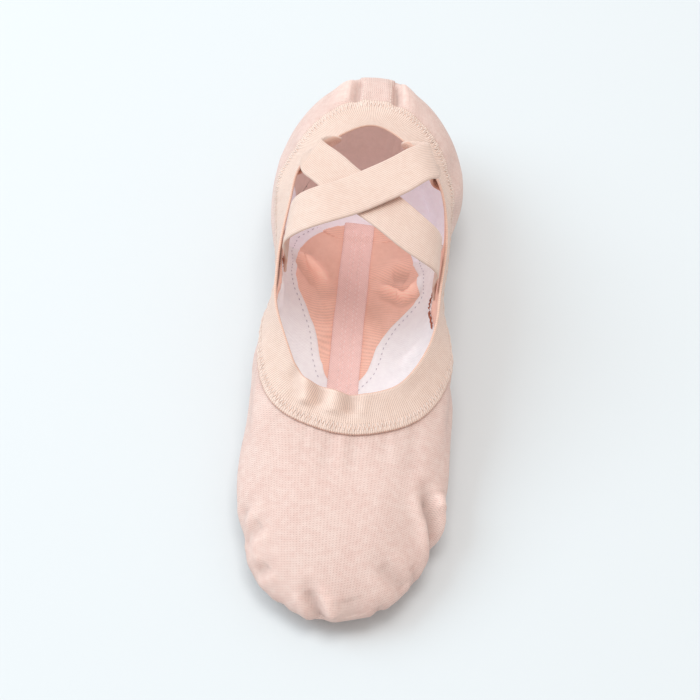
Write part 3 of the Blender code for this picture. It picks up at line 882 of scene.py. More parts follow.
def thread_mesh(
    name: str, starts: Array, ends: Array, lifts: Array, radius: float
) -> bpy.types.Object:
    """Short stitches, each a bowed tube between two points.

    The middle line is start + s (end - start) + lift sin(pi s), and the tube's radius
    is radius times (0.55 + 0.45 sin(pi s)).

    Args:
        name: The piece's name.
        starts: First points (k, 3).
        ends: Last points (k, 3).
        lifts: How far, and which way, each stitch stands proud (k, 3).
        radius: The thread's radius in metres.

    Returns:
        The object, all stitches joined in one mesh.
    """
    stations, sides = 5, 6
    share = np.linspace(0, 1, stations)
    bow = np.sin(math.pi * share)
    line = starts[:, None] + share[:, None] * (ends - starts)[:, None]
    line = line + bow[:, None] * lifts[:, None]
    forward = unit(ends - starts)[:, None, None]
    up = unit(lifts)[:, None, None]
    side = unit(np.cross(forward, up))
    angle = np.arange(sides) * math.pi / 3
    thick = (0.55 + 0.45 * bow)[:, None, None] * radius
    circle = np.cos(angle)[:, None] * side + np.sin(angle)[:, None] * up
    points = line[:, :, None] + circle * thick
    size = stations * sides
    first = np.arange(size).reshape(stations, sides)
    cap = np.array([[0, 1, 2, 3], [0, 3, 4, 5]])
    quads = np.concatenate([grid_quads(first, False, True)[0], cap[:, ::-1], first[-1, cap]])
    quads = outward_quads(points[0].reshape(-1, 3), quads)
    every = (np.arange(len(starts))[:, None, None] * size + quads).reshape(-1, 4)
    uv = np.zeros((len(every), 4, 2))
    length = np.linalg.norm(ends - starts, axis=-1)
    spot = every % size
    uv[..., 0] = (spot // sides) / (stations - 1) * length[every // size]
    uv[..., 1] = (spot % sides) / sides * 2 * math.pi * radius
    return make_mesh(name, points.reshape(-1, 3), every, uv)


def walk(line: Array, distance: Array) -> Array:
    """Rows of a line (n, k) at distances along its first three values."""
    length = chord_knots(line[:, :3])
    return np.stack([np.interp(distance, length, column) for column in line.T], -1)


def running_stitches(line: Array, pitch: float, share: float, lift: float) -> Stitches:
    """Stitches in a row along a line with normals.

    Args:
        line: Points and unit normals (n, 6).
        pitch: Distance from stitch to stitch.
        share: Share of the pitch that shows as thread.
        lift: How far the thread bows up.

    Returns:
        Starts, ends and lifts (k, 3) for thread_mesh.
    """
    total = chord_knots(line[:, :3])[-1]
    start = np.arange(0, total - pitch, pitch)
    first, last = walk(line, start), walk(line, start + pitch * share)
    return first[:, :3], last[:, :3], unit(first[:, 3:] + last[:, 3:]) * lift


def zigzag_stitches(upper: Array, lower: Array, pitch: float, lift: float) -> Stitches:
    """Stitches to and fro between two lines (n, 6) that run side by side.

    Args:
        upper: Points and normals of one line.
        lower: The same for the other.
        pitch: Distance for one to and fro.
        lift: How far the thread bows up.

    Returns:
        Starts, ends and lifts (k, 3) for thread_mesh.
    """
    between = chord_knots((upper + lower)[:, :3] / 2)
    at = np.arange(0, between[-1] - pitch, pitch)
    place = np.arange(len(upper))
    top, low, after = (
        np.stack([np.interp(np.interp(at + shift, between, place), place, c) for c in line.T], -1)
        for line, shift in ((upper, 0.0), (lower, pitch / 2), (upper, pitch))
    )
    starts, ends = np.concatenate([top, low]), np.concatenate([low, after])
    return starts[:, :3], ends[:, :3], unit(starts[:, 3:] + ends[:, 3:]) * lift


class Graph:
    """A short way to write the nodes of a material or a group."""

    def __init__(self, tree: bpy.types.NodeTree) -> None:
        """Starts with the tree to write into."""
        self.tree = tree

    def add(self, kind: str, inputs: dict[Any, Any], **settings: Any) -> bpy.types.Node:
        """A node with its settings, its inputs linked or set.

        Args:
            kind: The node's type.
            inputs: Sockets or values by input name or number.
            **settings: The node's own properties.

        Returns:
            The node.
        """
        node = self.tree.nodes.new(kind)
        for key, value in settings.items():
            setattr(node, key, value)
        return self.fill(node, inputs)

    def fill(self, node: bpy.types.Node, inputs: dict[Any, Any]) -> bpy.types.Node:
        """Links or sets a node's inputs, by name or number."""
        for key, value in inputs.items():
            if isinstance(value, bpy.types.NodeSocket):
                self.tree.links.new(value, node.inputs[key])
            else:
                node.inputs[key].default_value = value
        return node

    def group(self, tree: bpy.types.NodeTree, inputs: dict[str, Any]) -> bpy.types.NodeSocket:
        """The value of a node group."""
        return self.add("ShaderNodeGroup", inputs, node_tree=tree).outputs[0]

    def math(self, operation: str, *values: Any) -> bpy.types.NodeSocket:
        """The result of a Math node."""
        return self.add("ShaderNodeMath", dict(enumerate(values)), operation=operation).outputs[0]

    def noise(self, vector: Any, scale: Any, detail: float = 2.0) -> bpy.types.NodeSocket:
        """The value of a Noise Texture node."""
        inputs = {"Vector": vector, "Scale": scale, "Detail": detail, "Roughness": 0.55}
        return self.add("ShaderNodeTexNoise", inputs).outputs["Fac"]

    def spread(
        self, value: Any, low: float, high: float, to_low: float = 0.0, to_high: float = 1.0
    ) -> bpy.types.NodeSocket:
        """A value carried from one range to another and clamped."""
        inputs = {0: value, 1: low, 2: high, 3: to_low, 4: to_high}
        return self.add("ShaderNodeMapRange", inputs).outputs[0]

    def mix(self, factor: Any, first: Any, second: Any) -> bpy.types.NodeSocket:
        """A blend of two colours."""
        node = self.add("ShaderNodeMix", {0: factor, 6: first, 7: second}, data_type="RGBA")
        return node.outputs[2]


def open_group(
    name: str, inputs: Sequence[tuple[str, str]], output: str
) -> tuple[Graph, dict[str, bpy.types.NodeSocket], Callable[[bpy.types.NodeSocket], Any]]:
    """An empty node group with sockets.

    Args:
        name: The group's name.
        inputs: Name and socket type of each input.
        output: Name of the one value that it gives.

    Returns:
        The graph, its inputs by name, and a call that links the result.
    """
    tree = bpy.data.node_groups.new(name, "ShaderNodeTree")
    for socket, kind in inputs:
        tree.interface.new_socket(name=socket, in_out="INPUT", socket_type=kind)
    tree.interface.new_socket(name=output, in_out="OUTPUT", socket_type="NodeSocketFloat")
    entry = tree.nodes.new("NodeGroupInput")
    leave = tree.nodes.new("NodeGroupOutput")
    graph = Graph(tree)
    sockets = {socket: entry.outputs[socket] for socket, _ in inputs}
    return graph, sockets, lambda value: tree.links.new(value, leave.inputs[output])


@dataclass
class Groups:
    """The node groups that several finishes share."""

    @cached_property
    def threads(self) -> bpy.types.NodeTree:
        """Height of threads, 0.5 + 0.5 cos(2 pi u / U) ((1 - cross) + cross cos(2 pi v / V))."""
        number = "NodeSocketFloat"
        sockets = (("Cloth", "NodeSocketVector"), ("U", number), ("V", number), ("Cross", number))
        graph, given, give = open_group("threads", sockets, "Height")
        split = graph.add("ShaderNodeSeparateXYZ", {0: given["Cloth"]})
        waves = []
        for axis, pitch in ((0, "U"), (1, "V")):
            turns = graph.math("DIVIDE", split.outputs[axis], given[pitch])
            waves.append(graph.math("COSINE", graph.math("MULTIPLY", turns, 2 * math.pi)))
        plain = graph.math("SUBTRACT", 1.0, given["Cross"])
        crossed = graph.math("MULTIPLY_ADD", waves[1], given["Cross"], plain)
        both = graph.math("MULTIPLY", waves[0], crossed)
        give(graph.math("MULTIPLY_ADD", both, 0.5, 0.5))
        return graph.tree

    @cached_property
    def mottle(self) -> bpy.types.NodeTree:
        """Uneven colour of a used cloth, from fine and coarse noise, between 0 and 1."""
        graph, given, give = open_group(
            "mottle", (("Place", "NodeSocketVector"), ("Scale", "NodeSocketFloat")), "Mask"
        )
        fine = graph.noise(given["Place"], given["Scale"])
        coarse = graph.noise(given["Place"], graph.math("MULTIPLY", given["Scale"], 0.14))
        total = graph.math("MULTIPLY_ADD", fine, 0.6, graph.math("MULTIPLY", coarse, 0.4))
        give(graph.spread(total, 0.36, 0.64))
        return graph.tree

    @cached_property
    def dust(self) -> bpy.types.NodeTree:
        """Grey dust that gathers towards the floor, broken up by noise."""
        graph, given, give = open_group("dust", (("Place", "NodeSocketVector"),), "Mask")
        height = graph.add("ShaderNodeSeparateXYZ", {0: given["Place"]}).outputs[2]
        low = graph.spread(height, 0.002, 0.013, 1.0, 0.0)
        broken = graph.spread(graph.noise(given["Place"], 160.0, 3.0), 0.38, 0.7)
        give(graph.math("MULTIPLY", low, broken))
        return graph.tree


GROUPS = Groups()


@dataclass(frozen=True)
class Finish:
    """A cloth's colours, its threads and its grain.

    colour and shade are linear RGB, pitch is the distance of threads in metres across and
    along, contrast is how far the colour follows the threads, and bump is their height.
    glow is painted light: an emission in the cloth's own colour that stands in for the
    daylight that comes through the thin cloth from behind. Where a mesh has the height of
    its creases as an attribute, fold paints shade and highlight into the colour: it is how
    much lighter each millimetre of ridge makes the colour, and how much darker each
    millimetre of trough.
    """

    name: str
    slot: str
    colour: Colour
    shade: Colour
    pattern: Pattern = Pattern.WEAVE
    pitch: tuple[float, float] = (0.0008, 0.0008)
    contrast: float = 0.1
    bump: float = 0.0001
    grain: float = 420.0
    roughness: float = 0.86
    sheen: float = 0.12
    dust: float = 0.0
    painted_glow: float = 0.0
    painted_crease_shade: float = 0.0

    def material(self) -> bpy.types.Material:
        """The finish as a material, made once."""
        if self.name in bpy.data.materials:
            return bpy.data.materials[self.name]
        material = bpy.data.materials.new(self.name)
        material.use_nodes = True
        graph = Graph(material.node_tree)
        place = graph.add("ShaderNodeTexCoord", {}).outputs["Object"]
        cloth = graph.add("ShaderNodeUVMap", {}, uv_map="cloth").outputs[0]
        uneven = graph.group(GROUPS.mottle, {"Place": place, "Scale": self.grain})
        colour = graph.mix(uneven, (*self.colour, 1), (*self.shade, 1))
        height = self.height(graph, cloth, place)
        tone = graph.spread(height, 0.0, 1.0, 1 - self.contrast, 1 + self.contrast)
        # Painted shade and highlight: crease heights darken the troughs and lighten the ridges in
        # the colour itself.
        if self.painted_crease_shade:
            crease = graph.add("ShaderNodeAttribute", {}, attribute_name="painted_crease_shade").outputs["Fac"]
            tone = graph.math("MULTIPLY", tone, graph.math("MULTIPLY_ADD", crease, self.painted_crease_shade, 1.0))
        colour = graph.add(
            "ShaderNodeVectorMath", {0: colour, "Scale": tone}, operation="SCALE"
        ).outputs[0]
        if self.dust:
            dusty = graph.group(GROUPS.dust, {"Place": place})
            colour = graph.mix(graph.math("MULTIPLY", dusty, self.dust), colour, DUST_COLOUR)
        bump = graph.add("ShaderNodeBump", {"Height": height, "Distance": self.bump})
        inputs = {
            "Base Color": colour, "Roughness": self.roughness, "Normal": bump.outputs[0],
            "Sheen Weight": self.sheen, "Sheen Roughness": 0.6, "Specular IOR Level": 0.25,
        }
        # Painted light: an emission in the cloth's own colour, in place of daylight through the
        # thin cloth.
        if self.painted_glow:
            inputs |= {"Emission Color": colour, "Emission Strength": self.painted_glow}
        graph.fill(material.node_tree.nodes["Principled BSDF"], inputs)
        return material

    def height(self, graph: Graph, cloth: Any, place: Any) -> bpy.types.NodeSocket:
        """Height of the threads between 0 and 1.

        Args:
            graph: The graph to write into.
            cloth: The map coordinates in metres.
            place: The object coordinates.

        Returns:
            The height.
        """
        if self.pattern is Pattern.NAP:
            return graph.noise(place, NAP_SCALE, 4.0)
        u, v = self.pitch
        given = {"Cloth": cloth, "U": u, "V": v, "Cross": CROSS[self.pattern]}
        threads = graph.group(GROUPS.threads, given)
        fuzz = graph.math("MULTIPLY", graph.noise(place, FUZZ_SCALE), FUZZ_SHARE)
        return graph.math("MULTIPLY_ADD", threads, 1 - FUZZ_SHARE, fuzz)


# Finishes with a glow carry painted light: they shine in their own colour as if daylight came
# through the thin cloth.
CANVAS = Finish("stretch canvas", "canvas", (0.77, 0.58, 0.515), (0.715, 0.50, 0.44),
                pitch=(0.00078, 0.00155), contrast=0.30, bump=0.00016, dust=0.35,
                painted_crease_shade=0.08)
SALMON = Finish("canvas reverse", "canvas", (0.80, 0.495, 0.405), (0.755, 0.45, 0.36),
                pattern=Pattern.KNIT, pitch=(0.0008, 0.0011), contrast=0.13, bump=0.00010,
                painted_glow=0.20, painted_crease_shade=0.12)
ELASTIC = Finish("collar elastic", "elastic", (0.79, 0.60, 0.51), (0.75, 0.55, 0.46),
                 pattern=Pattern.RIBS, pitch=(0.00072, 0.0010), contrast=0.34, bump=0.00018,
                 roughness=0.7, painted_crease_shade=0.05)
# The elastic's inner side: its own reverse face, coloured darker and more orange as painted shade,
# on the band's inner faces and the straps' undersides.
INNER_ELASTIC_SHADED = Finish("elastic inside", "elastic", (0.80, 0.53, 0.42), (0.76, 0.48, 0.375),
                       pattern=Pattern.RIBS, pitch=(0.00085, 0.0007), contrast=0.12,
                       bump=0.00010, roughness=0.8)
STRAP_ELASTIC = Finish("strap elastic", "elastic", (0.78, 0.59, 0.50), (0.74, 0.54, 0.45),
                       pattern=Pattern.RIBS, pitch=(0.00085, 0.0007), contrast=0.27,
                       bump=0.00016, roughness=0.7)
# The band's corded lower edge: partly the turned edge, and darker as a painted shadow under the
# band.
EDGE_CORD_AND_SHADOW = Finish("elastic edge", "elastic", (0.70, 0.44, 0.35), (0.64, 0.38, 0.30),
              pattern=Pattern.THREAD, pitch=(0.0006, 1.0), contrast=0.1, bump=0.00006)
COTTON = Finish("cotton lining", "lining", (0.87, 0.85, 0.86), (0.82, 0.79, 0.81),
                pitch=(0.0005, 0.0005), contrast=0.06, bump=0.00005, painted_glow=0.10, painted_crease_shade=0.10)
# The heel's copy of the cotton lining, a little more lavender and with more than twice the
# emission: painted light for the deep heel, where the lamps reach less.
HEEL_COTTON_GLOWING = Finish("heel cotton", "lining", (0.82, 0.77, 0.81), (0.78, 0.72, 0.77),
                     pitch=(0.0005, 0.0005), contrast=0.06, bump=0.00005, painted_glow=0.24)
SOCK = Finish("heel sock", "sock", (0.62, 0.45, 0.40), (0.58, 0.42, 0.37),
              pattern=Pattern.NAP, contrast=0.05, bump=0.00004, roughness=0.75, painted_glow=0.27)
TAPE = Finish("arch tape", "tape", (0.79, 0.54, 0.505), (0.73, 0.49, 0.455),
              pattern=Pattern.CHECK, pitch=(0.0011, 0.0011), contrast=0.15, bump=0.00010,
              painted_glow=0.21)
SUEDE = Finish("split suede", "suede", (0.45, 0.36, 0.33), (0.37, 0.29, 0.26),
               pattern=Pattern.NAP, contrast=0.18, bump=0.00018, roughness=0.95, dust=0.6)


def thread(
    name: str, slot: str, colour: Colour, shade: Colour, contrast: float = 0.1, painted_glow: float = 0.0
) -> Finish:
    """A sewing thread's finish."""
    return Finish(name, slot, colour, shade, pattern=Pattern.THREAD, pitch=(0.0005, 1.0),
                  contrast=contrast, bump=0.00003, painted_glow=painted_glow)


PINK_THREAD = thread("pink thread", "canvas", (0.88, 0.72, 0.64), (0.85, 0.69, 0.61), 0.08)
GREY_THREAD = thread("grey thread", "lining", (0.60, 0.54, 0.61), (0.56, 0.50, 0.57))
PALE_THREAD = thread("pale thread", "tape", (0.90, 0.68, 0.65), (0.86, 0.64, 0.61), painted_glow=0.14)
RUST_THREAD = thread("rust thread", "lining", (0.42, 0.14, 0.08), (0.34, 0.10, 0.055))


def dress(piece: bpy.types.Object, finish: Finish, *replaced: str) -> bpy.types.Object:
    """Gives a piece its finish, its body and the nodes that it stands for.

    Args:
        piece: The piece.
        finish: What it is made of.
        *replaced: CAD nodes that it stands for.

    Returns:
        The piece.
    """
    piece.data.materials.append(finish.material())
    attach(piece, "root")
    if replaced:
        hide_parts(*replaced)
    return piece


def sew(
    name: str, rows: Sequence[Stitches], radius: float, finish: Finish
) -> bpy.types.Object:
    """One dressed piece of thread with the stitches of several rows."""
    stitches = [np.concatenate(parts) for parts in zip(*rows)]
    return dress(thread_mesh(name, *stitches, radius), finish)


def paint(
    piece: bpy.types.Object, finish: Finish, choose: Callable[[Array, Array], Array]
) -> bpy.types.Object:
    """Gives some faces of a piece a second finish.

    Args:
        piece: The piece, with its first finish on it.
        finish: The second finish.
        choose: Says which faces take it, from their centres and normals (f, 3).

    Returns:
        The piece.
    """
    faces = piece.data.polygons
    centres, normals = (np.empty(len(faces) * 3, np.float32) for _ in range(2))
    faces.foreach_get("center", centres)
    faces.foreach_get("normal", normals)
    chosen = choose(centres.reshape(-1, 3), normals.reshape(-1, 3))
    piece.data.materials.append(finish.material())
    faces.foreach_set("material_index", chosen.astype(np.int32))
    return piece


@dataclass
class CanvasUpper:
    """The stretch-canvas shell, creased outside and salmon inside."""

    cloth: Cloth
    columns: int = 440
    rows: int = 112
    inner_rows: int = 86
    wall: float = 0.0011
    outer_spread: tuple[float, ...] = (0, 0.06, 0.34, 0.66, 0.80, 0.90, 1.0)
    inner_spread: tuple[float, ...] = (0, 0.05, 0.16, 0.32, 0.48, 0.70, 1.0)

    def levels(self, count: int, spread: tuple[float, ...]) -> Array:
        """Levels from the canvas's upper edge to the underside.

        Args:
            count: How many.
            spread: The share of them that lies above each mark.

        Returns:
            The levels (count).
        """
        marks = (self.cloth.last.canvas_level, 1.0, 2.0, 3.0, 3.6, 4.2, 5.0)
        return np.interp(np.linspace(0, 1, count), spread, marks)

    def numbers(self, first: int, rows: int) -> Array:
        """Vertex numbers (columns, rows) whose last row is shared by the two sides."""
        numbers = first + np.arange(self.columns * rows).reshape(self.columns, rows)
        mirror = (-np.arange(self.columns)) % self.columns
        numbers[:, -1] = numbers[np.minimum(np.arange(self.columns), mirror), -1]
        return numbers

    def build(self) -> list[bpy.types.Object]:
        """One closed shell from two grids, with a rounded rim.

        The outer grid is last + normal x relief, and the inner one lies one wall further in.

        Returns:
            The upper.
        """
        turn = np.arange(self.columns) / self.columns
        outer_levels = self.levels(self.rows, self.outer_spread)
        inner_levels = self.levels(self.inner_rows, self.inner_spread)
        outer = self.cloth.surface(turn, outer_levels)
        inner = self.cloth.surface(turn, inner_levels, -self.wall)
        rim = sheet_sections(inner[:, :2], outer[:, :2])[:, -1:]
        rim_start = self.columns * (self.rows + self.inner_rows)
        outer_numbers = self.numbers(0, self.rows)
        inner_numbers = self.numbers(self.columns * self.rows, self.inner_rows)
        rim_numbers = (rim_start + np.arange(self.columns))[:, None]
        points = np.concatenate([grid.reshape(-1, 3) for grid in (outer, inner, rim)])
        numbers = np.concatenate(
            [outer_numbers[:, ::-1], rim_numbers, inner_numbers], axis=1
        )
        levels = np.concatenate([outer_levels[::-1], inner_levels[:1], inner_levels])
        quads, rows, columns = grid_quads(numbers, True, False)
        places = np.broadcast_to(levels, (self.columns + 1, len(levels)))
        around = np.arange(self.columns + 1) / self.columns
        uv = self.cloth.cloth_map(around, places)[rows, columns]
        turned = outward_quads(points, quads)
        if turned is not quads:
            uv, columns = uv[:, ::-1], columns[:, ::-1]
        # Crease heights for the painted shade and highlight, turned for the inside, where a ridge
        # of the outside is a trough.
        outer_crease_shade = self.cloth.painted_crease_shade(turn, outer_levels)
        inner_crease_shade = -self.cloth.painted_crease_shade(turn, inner_levels)
        painted_crease_shade = np.concatenate([outer_crease_shade.ravel(), inner_crease_shade.ravel(), outer_crease_shade[:, 0]])
        piece = make_mesh("canvas_upper", points, turned, uv, painted_crease_shade)
        dress(piece, CANVAS, "upper")
        piece.data.materials.append(SALMON.material())
        inside = (columns.min(1) >= self.rows).astype(np.int32)
        piece.data.polygons.foreach_set("material_index", inside)
        return [piece]


@dataclass
class CollarElastic:
    """The ribbed band round the opening, with a zigzag seam above its lower edge."""

    cloth: Cloth
    columns: int = 720
    rows: int = 19
    near: float = 0.00015
    thickness: float = 0.0010
    seam: tuple[float, float] = (0.74, 0.945)
    seam_pitch: float = 0.0017
    seam_lift: float = 0.00016
    edge_pitch: float = 0.0011
    edge_share: float = 1.1
    edge_lift: float = 0.00005
    edge_radius: float = 0.0005
    clearance: float = 0.00003

    def build(self) -> list[bpy.types.Object]:
        """The band, its seam stitches and its corded lower edge, whose darker colour also paints
        the shadow under the band's edge.
        """
        last = self.cloth.last
        turn = np.arange(self.columns) / self.columns
        levels = np.linspace(0.0, 1.0, self.rows)
        near = self.cloth.surface(turn, levels, self.near)
        far = self.cloth.surface(turn, levels, self.near + self.thickness)
        around = np.linspace(0, 1, self.columns + 1)
        middle = last.ribs(around)[:, :2].mean(1)
        uv = sheet_uv(chord_knots(middle)[:, None], levels * last.band_width)
        # Crease heights for the painted shade and highlight of the band, turned for its inner
        # side.
        painted_crease_shade = self.cloth.painted_crease_shade(turn, levels)
        sections = sheet_sections(near, far)
        band = loft("collar_elastic", sections, uv, True, sheet_values(-painted_crease_shade, painted_crease_shade))
        dress(band, ELASTIC, "collar_band")
        # Inner faces of the band take the darker inner elastic, partly painted shade.
        band.data.materials.append(INNER_ELASTIC_SHADED.material())
        place = np.arange(len(band.data.polygons)) % (2 * self.rows + 2)
        inner = (place < self.rows - 1) | (place >= 2 * self.rows)
        band.data.polygons.foreach_set("material_index", inner.astype(np.int32))
        top = self.near + self.thickness + self.clearance
        upper, lower = (self.line(level, top) for level in self.seam)
        seam = zigzag_stitches(upper, lower, self.seam_pitch, self.seam_lift)
        # A darker cord along the band's lower edge, which paints its shadow line on the canvas.
        cord = self.line(1.0, self.near + self.thickness / 2)
        edging = running_stitches(cord, self.edge_pitch, self.edge_share, self.edge_lift)
        return [
            band,
            sew("collar_seam", [seam], STITCH_RADIUS, PINK_THREAD),
            sew("collar_edging", [edging], self.edge_radius, EDGE_CORD_AND_SHADOW),
        ]

    def line(self, level: float, distance: float) -> Array:
        """Points and normals (n, 6) all round at a level and a distance."""
        turn = np.linspace(0, 1, 900)
        return self.cloth.line(turn, np.full(len(turn), level), distance)


@dataclass
class Strap:
    """An elastic strap, sewn inside the collar at both ends and free over the opening."""

    cloth: Cloth
    name: str
    node: str
    start: StrapEnd
    rows: tuple[StrapRow, ...]
    end: StrapEnd
    lift: float
    width: float = 0.0175
    thickness: float = 0.0012
    height: float = 0.0675
    sewn_depth: float = 0.012
    sewn_lines: tuple[float, ...] = (1.0, 0.6, 0.3)
    stations: int = 150
    across: int = 15
    under_lean: float = -0.1
    loop_lean: float = -0.45
    loop_start: float = 0.055

    def sewn(self, end: StrapEnd) -> Array:
        """Lines (3, k, 3) across an end, from the bottom of its seam to the collar's edge."""
        last = self.cloth.last
        turns = np.linspace(0, 0.5, 401) if end.side > 0 else np.linspace(1, 0.5, 401)
        turn = np.interp(end.along * last.length, last.collar(turns)[:, 1], turns)
        step = 0.001
        edge = last.collar(np.array([turn - step, turn + step]))[:, :3]
        per_metre = 2 * step / np.linalg.norm(edge[1] - edge[0])
        places = turn + end.side * self.shares() * self.width * per_metre
        depths = np.array(self.sewn_lines) * self.sewn_depth
        inset = last.wall + 1.5 * last.gap + self.thickness / 2
        level = np.broadcast_to(depths / last.band_width, (len(places), 3))
        points = last.outside(places, level)
        return np.swapaxes(points - last.normals(places, level) * inset, 0, 1)

    def shares(self) -> Array:
        """Places across the width, from -0.5 to 0.5."""
        return np.linspace(-0.5, 0.5, self.across)

    def middle(self) -> Array:
        """The strap's middle surface (stations, across, 3): a spline through its lines."""
        last = self.cloth.last
        free = []
        for row in self.rows:
            angle = math.radians(row.turn)
            way = np.array([-math.sin(angle), math.cos(angle), 0.0])
            up = row.height * self.height + self.lift
            centre = np.array([row.across * last.half, row.along * last.length, up])
            free.append(centre + self.shares()[:, None] * self.width * way)
        lines = np.concatenate([self.sewn(self.start), np.array(free), self.sewn(self.end)[::-1]])
        knots = chord_knots(lines[:, self.across // 2])
        stations = np.linspace(0, knots[-1], self.stations)
        flat = lines.reshape(len(lines), -1)
        return spline(knots, flat, stations).reshape(self.stations, self.across, 3)

    def build(self) -> list[bpy.types.Object]:
        """The strap as a sheet of even thickness with rounded edges."""
        sheet = self.middle()
        normal = unit(np.cross(np.gradient(sheet, axis=0), np.gradient(sheet, axis=1)))
        half = normal * self.thickness / 2
        along = chord_knots(sheet[:, self.across // 2])
        uv = sheet_uv(self.shares() * self.width, along[:, None])
        piece = loft(self.name, sheet_sections(sheet - half, sheet + half), uv)
        dress(piece, STRAP_ELASTIC, self.node)
        return [paint(piece, INNER_ELASTIC_SHADED, self.inside)]

    def inside(self, centres: Array, normals: Array) -> Array:
        """Which faces are the inner side, darker as painted shade: those underneath, and forward
        ones in the rear loop.
        """
        loop = (centres[:, 1] > self.loop_start) & (normals[:, 1] < self.loop_lean)
        return (normals[:, 2] < self.under_lean) | loop


@dataclass
class CottonLining:
    """The white lining inside the toe, the sides and the heel, open over the arch."""

    cloth: Cloth
    columns: int = 560
    rows: int = 40
    far: float = -0.00115
    near: float = -0.00155
    stitch_inset: float = 0.003
    stitch_pitch: float = 0.0025
    stitch_share: float = 0.4
    stitch_lift: float = 0.0001
    tuft_radius: float = 0.00034
    tuft_lift: float = 0.0005
    tuft_lean: float = 0.003
    tuft_reach: tuple[float, float] = (0.04, 0.16)
    heel_start: float = 0.052
    stitched: tuple[tuple[str, float, float], ...] = (
        ("right", 0.185, 0.395), ("left", 0.605, 0.812),
    )
    tufts: tuple[tuple[float, float, int], ...] = (
        (0.218, 0.318, 44), (0.372, 0.386, 9), (0.655, 0.735, 30),
    )
    fray: Waves = ((0.5, 611, 0), (0.3, 1097, 1), (0.2, 1733, 2))

    def edge(self, turn: Array) -> Array:
        """The level where the lining ends on the arch, at turns."""
        return np.interp(turn % 1.0, *np.array(LINING_EDGE).T)

    def ragged(self, turn: Array) -> Array:
        """The level of the upper edge, frayed by three sines of the turn."""
        level = np.interp(turn % 1.0, *np.array(LINING_TOP).T)
        return level + (0.03 + 0.05 * smooth(0.9, 2.0, level)) * sway(turn, self.fray)

    def build(self) -> list[bpy.types.Object]:
        """The lining, its grey stitching along the arch, and rust overlock at its top."""
        turn = np.arange(self.columns) / self.columns
        share = np.linspace(0, 1, self.rows)
        top, edge = self.ragged(turn)[:, None], self.edge(turn)[:, None]
        levels = top + (edge - top) * share
        near = self.cloth.surface(turn, levels, self.near)
        far = self.cloth.surface(turn, levels, self.far)
        around = np.append(turn, 1.0)
        flat = self.cloth.cloth_map(around, np.concatenate([levels, levels[:1]]))
        uv = sheet_values(flat, flat)
        # Crease heights, turned for the inside, for the painted shade and highlight of the lining.
        painted_crease_shade = -self.cloth.painted_crease_shade(turn, levels)
        sections = sheet_sections(near, far)
        lining = loft("cotton_lining", sections, uv, True, sheet_values(painted_crease_shade, painted_crease_shade))
        dress(lining, COTTON)
        # The rear of the lining takes the heel cotton, whose stronger emission is painted light in
        # the deep heel.
        paint(lining, HEEL_COTTON_GLOWING, lambda centres, _: centres[:, 1] > self.heel_start)
        return [lining, *(self.stitching(*row) for row in self.stitched), self.overlock()]

    def overlock(self) -> bpy.types.Object:
        """Rust thread ends across the frayed edge, scattered by a seeded draw."""
        draw = np.random.default_rng(11)
        turn = np.concatenate([draw.uniform(low, high, count) for low, high, count in self.tufts])
        level = self.ragged(turn)
        lean = draw.uniform(-self.tuft_lean, self.tuft_lean, len(turn))
        reach = draw.uniform(*self.tuft_reach, (2, len(turn)))
        starts = self.cloth.along(turn, level - reach[0], self.near - 0.0002)
        ends = self.cloth.along(turn + lean, level + reach[1], self.near - 0.0003)
        lifts = -self.cloth.last.normals(turn, level[:, None])[:, 0] * self.tuft_lift
        return sew("lining_overlock", [(starts, ends, lifts)], self.tuft_radius, RUST_THREAD)

    def stitching(self, side: str, low: float, high: float) -> bpy.types.Object:
        """A row of grey stitches a little inside the lining's edge on the arch."""
        turn = np.linspace(low, high, 240)
        edge, step = self.edge(turn), 0.3
        on_edge = self.cloth.along(turn, edge, self.near)
        above = self.cloth.along(turn, edge - step, self.near)
        per_level = np.linalg.norm(above - on_edge, axis=-1) / step
        level = edge - self.stitch_inset / np.maximum(per_level, 0.004)
        line = self.cloth.line(turn, level, self.near - 0.00005, -1)
        stitches = running_stitches(line, self.stitch_pitch, self.stitch_share, self.stitch_lift)
        return sew(f"lining_stitches_{side}", [stitches], STITCH_RADIUS, GREY_THREAD)


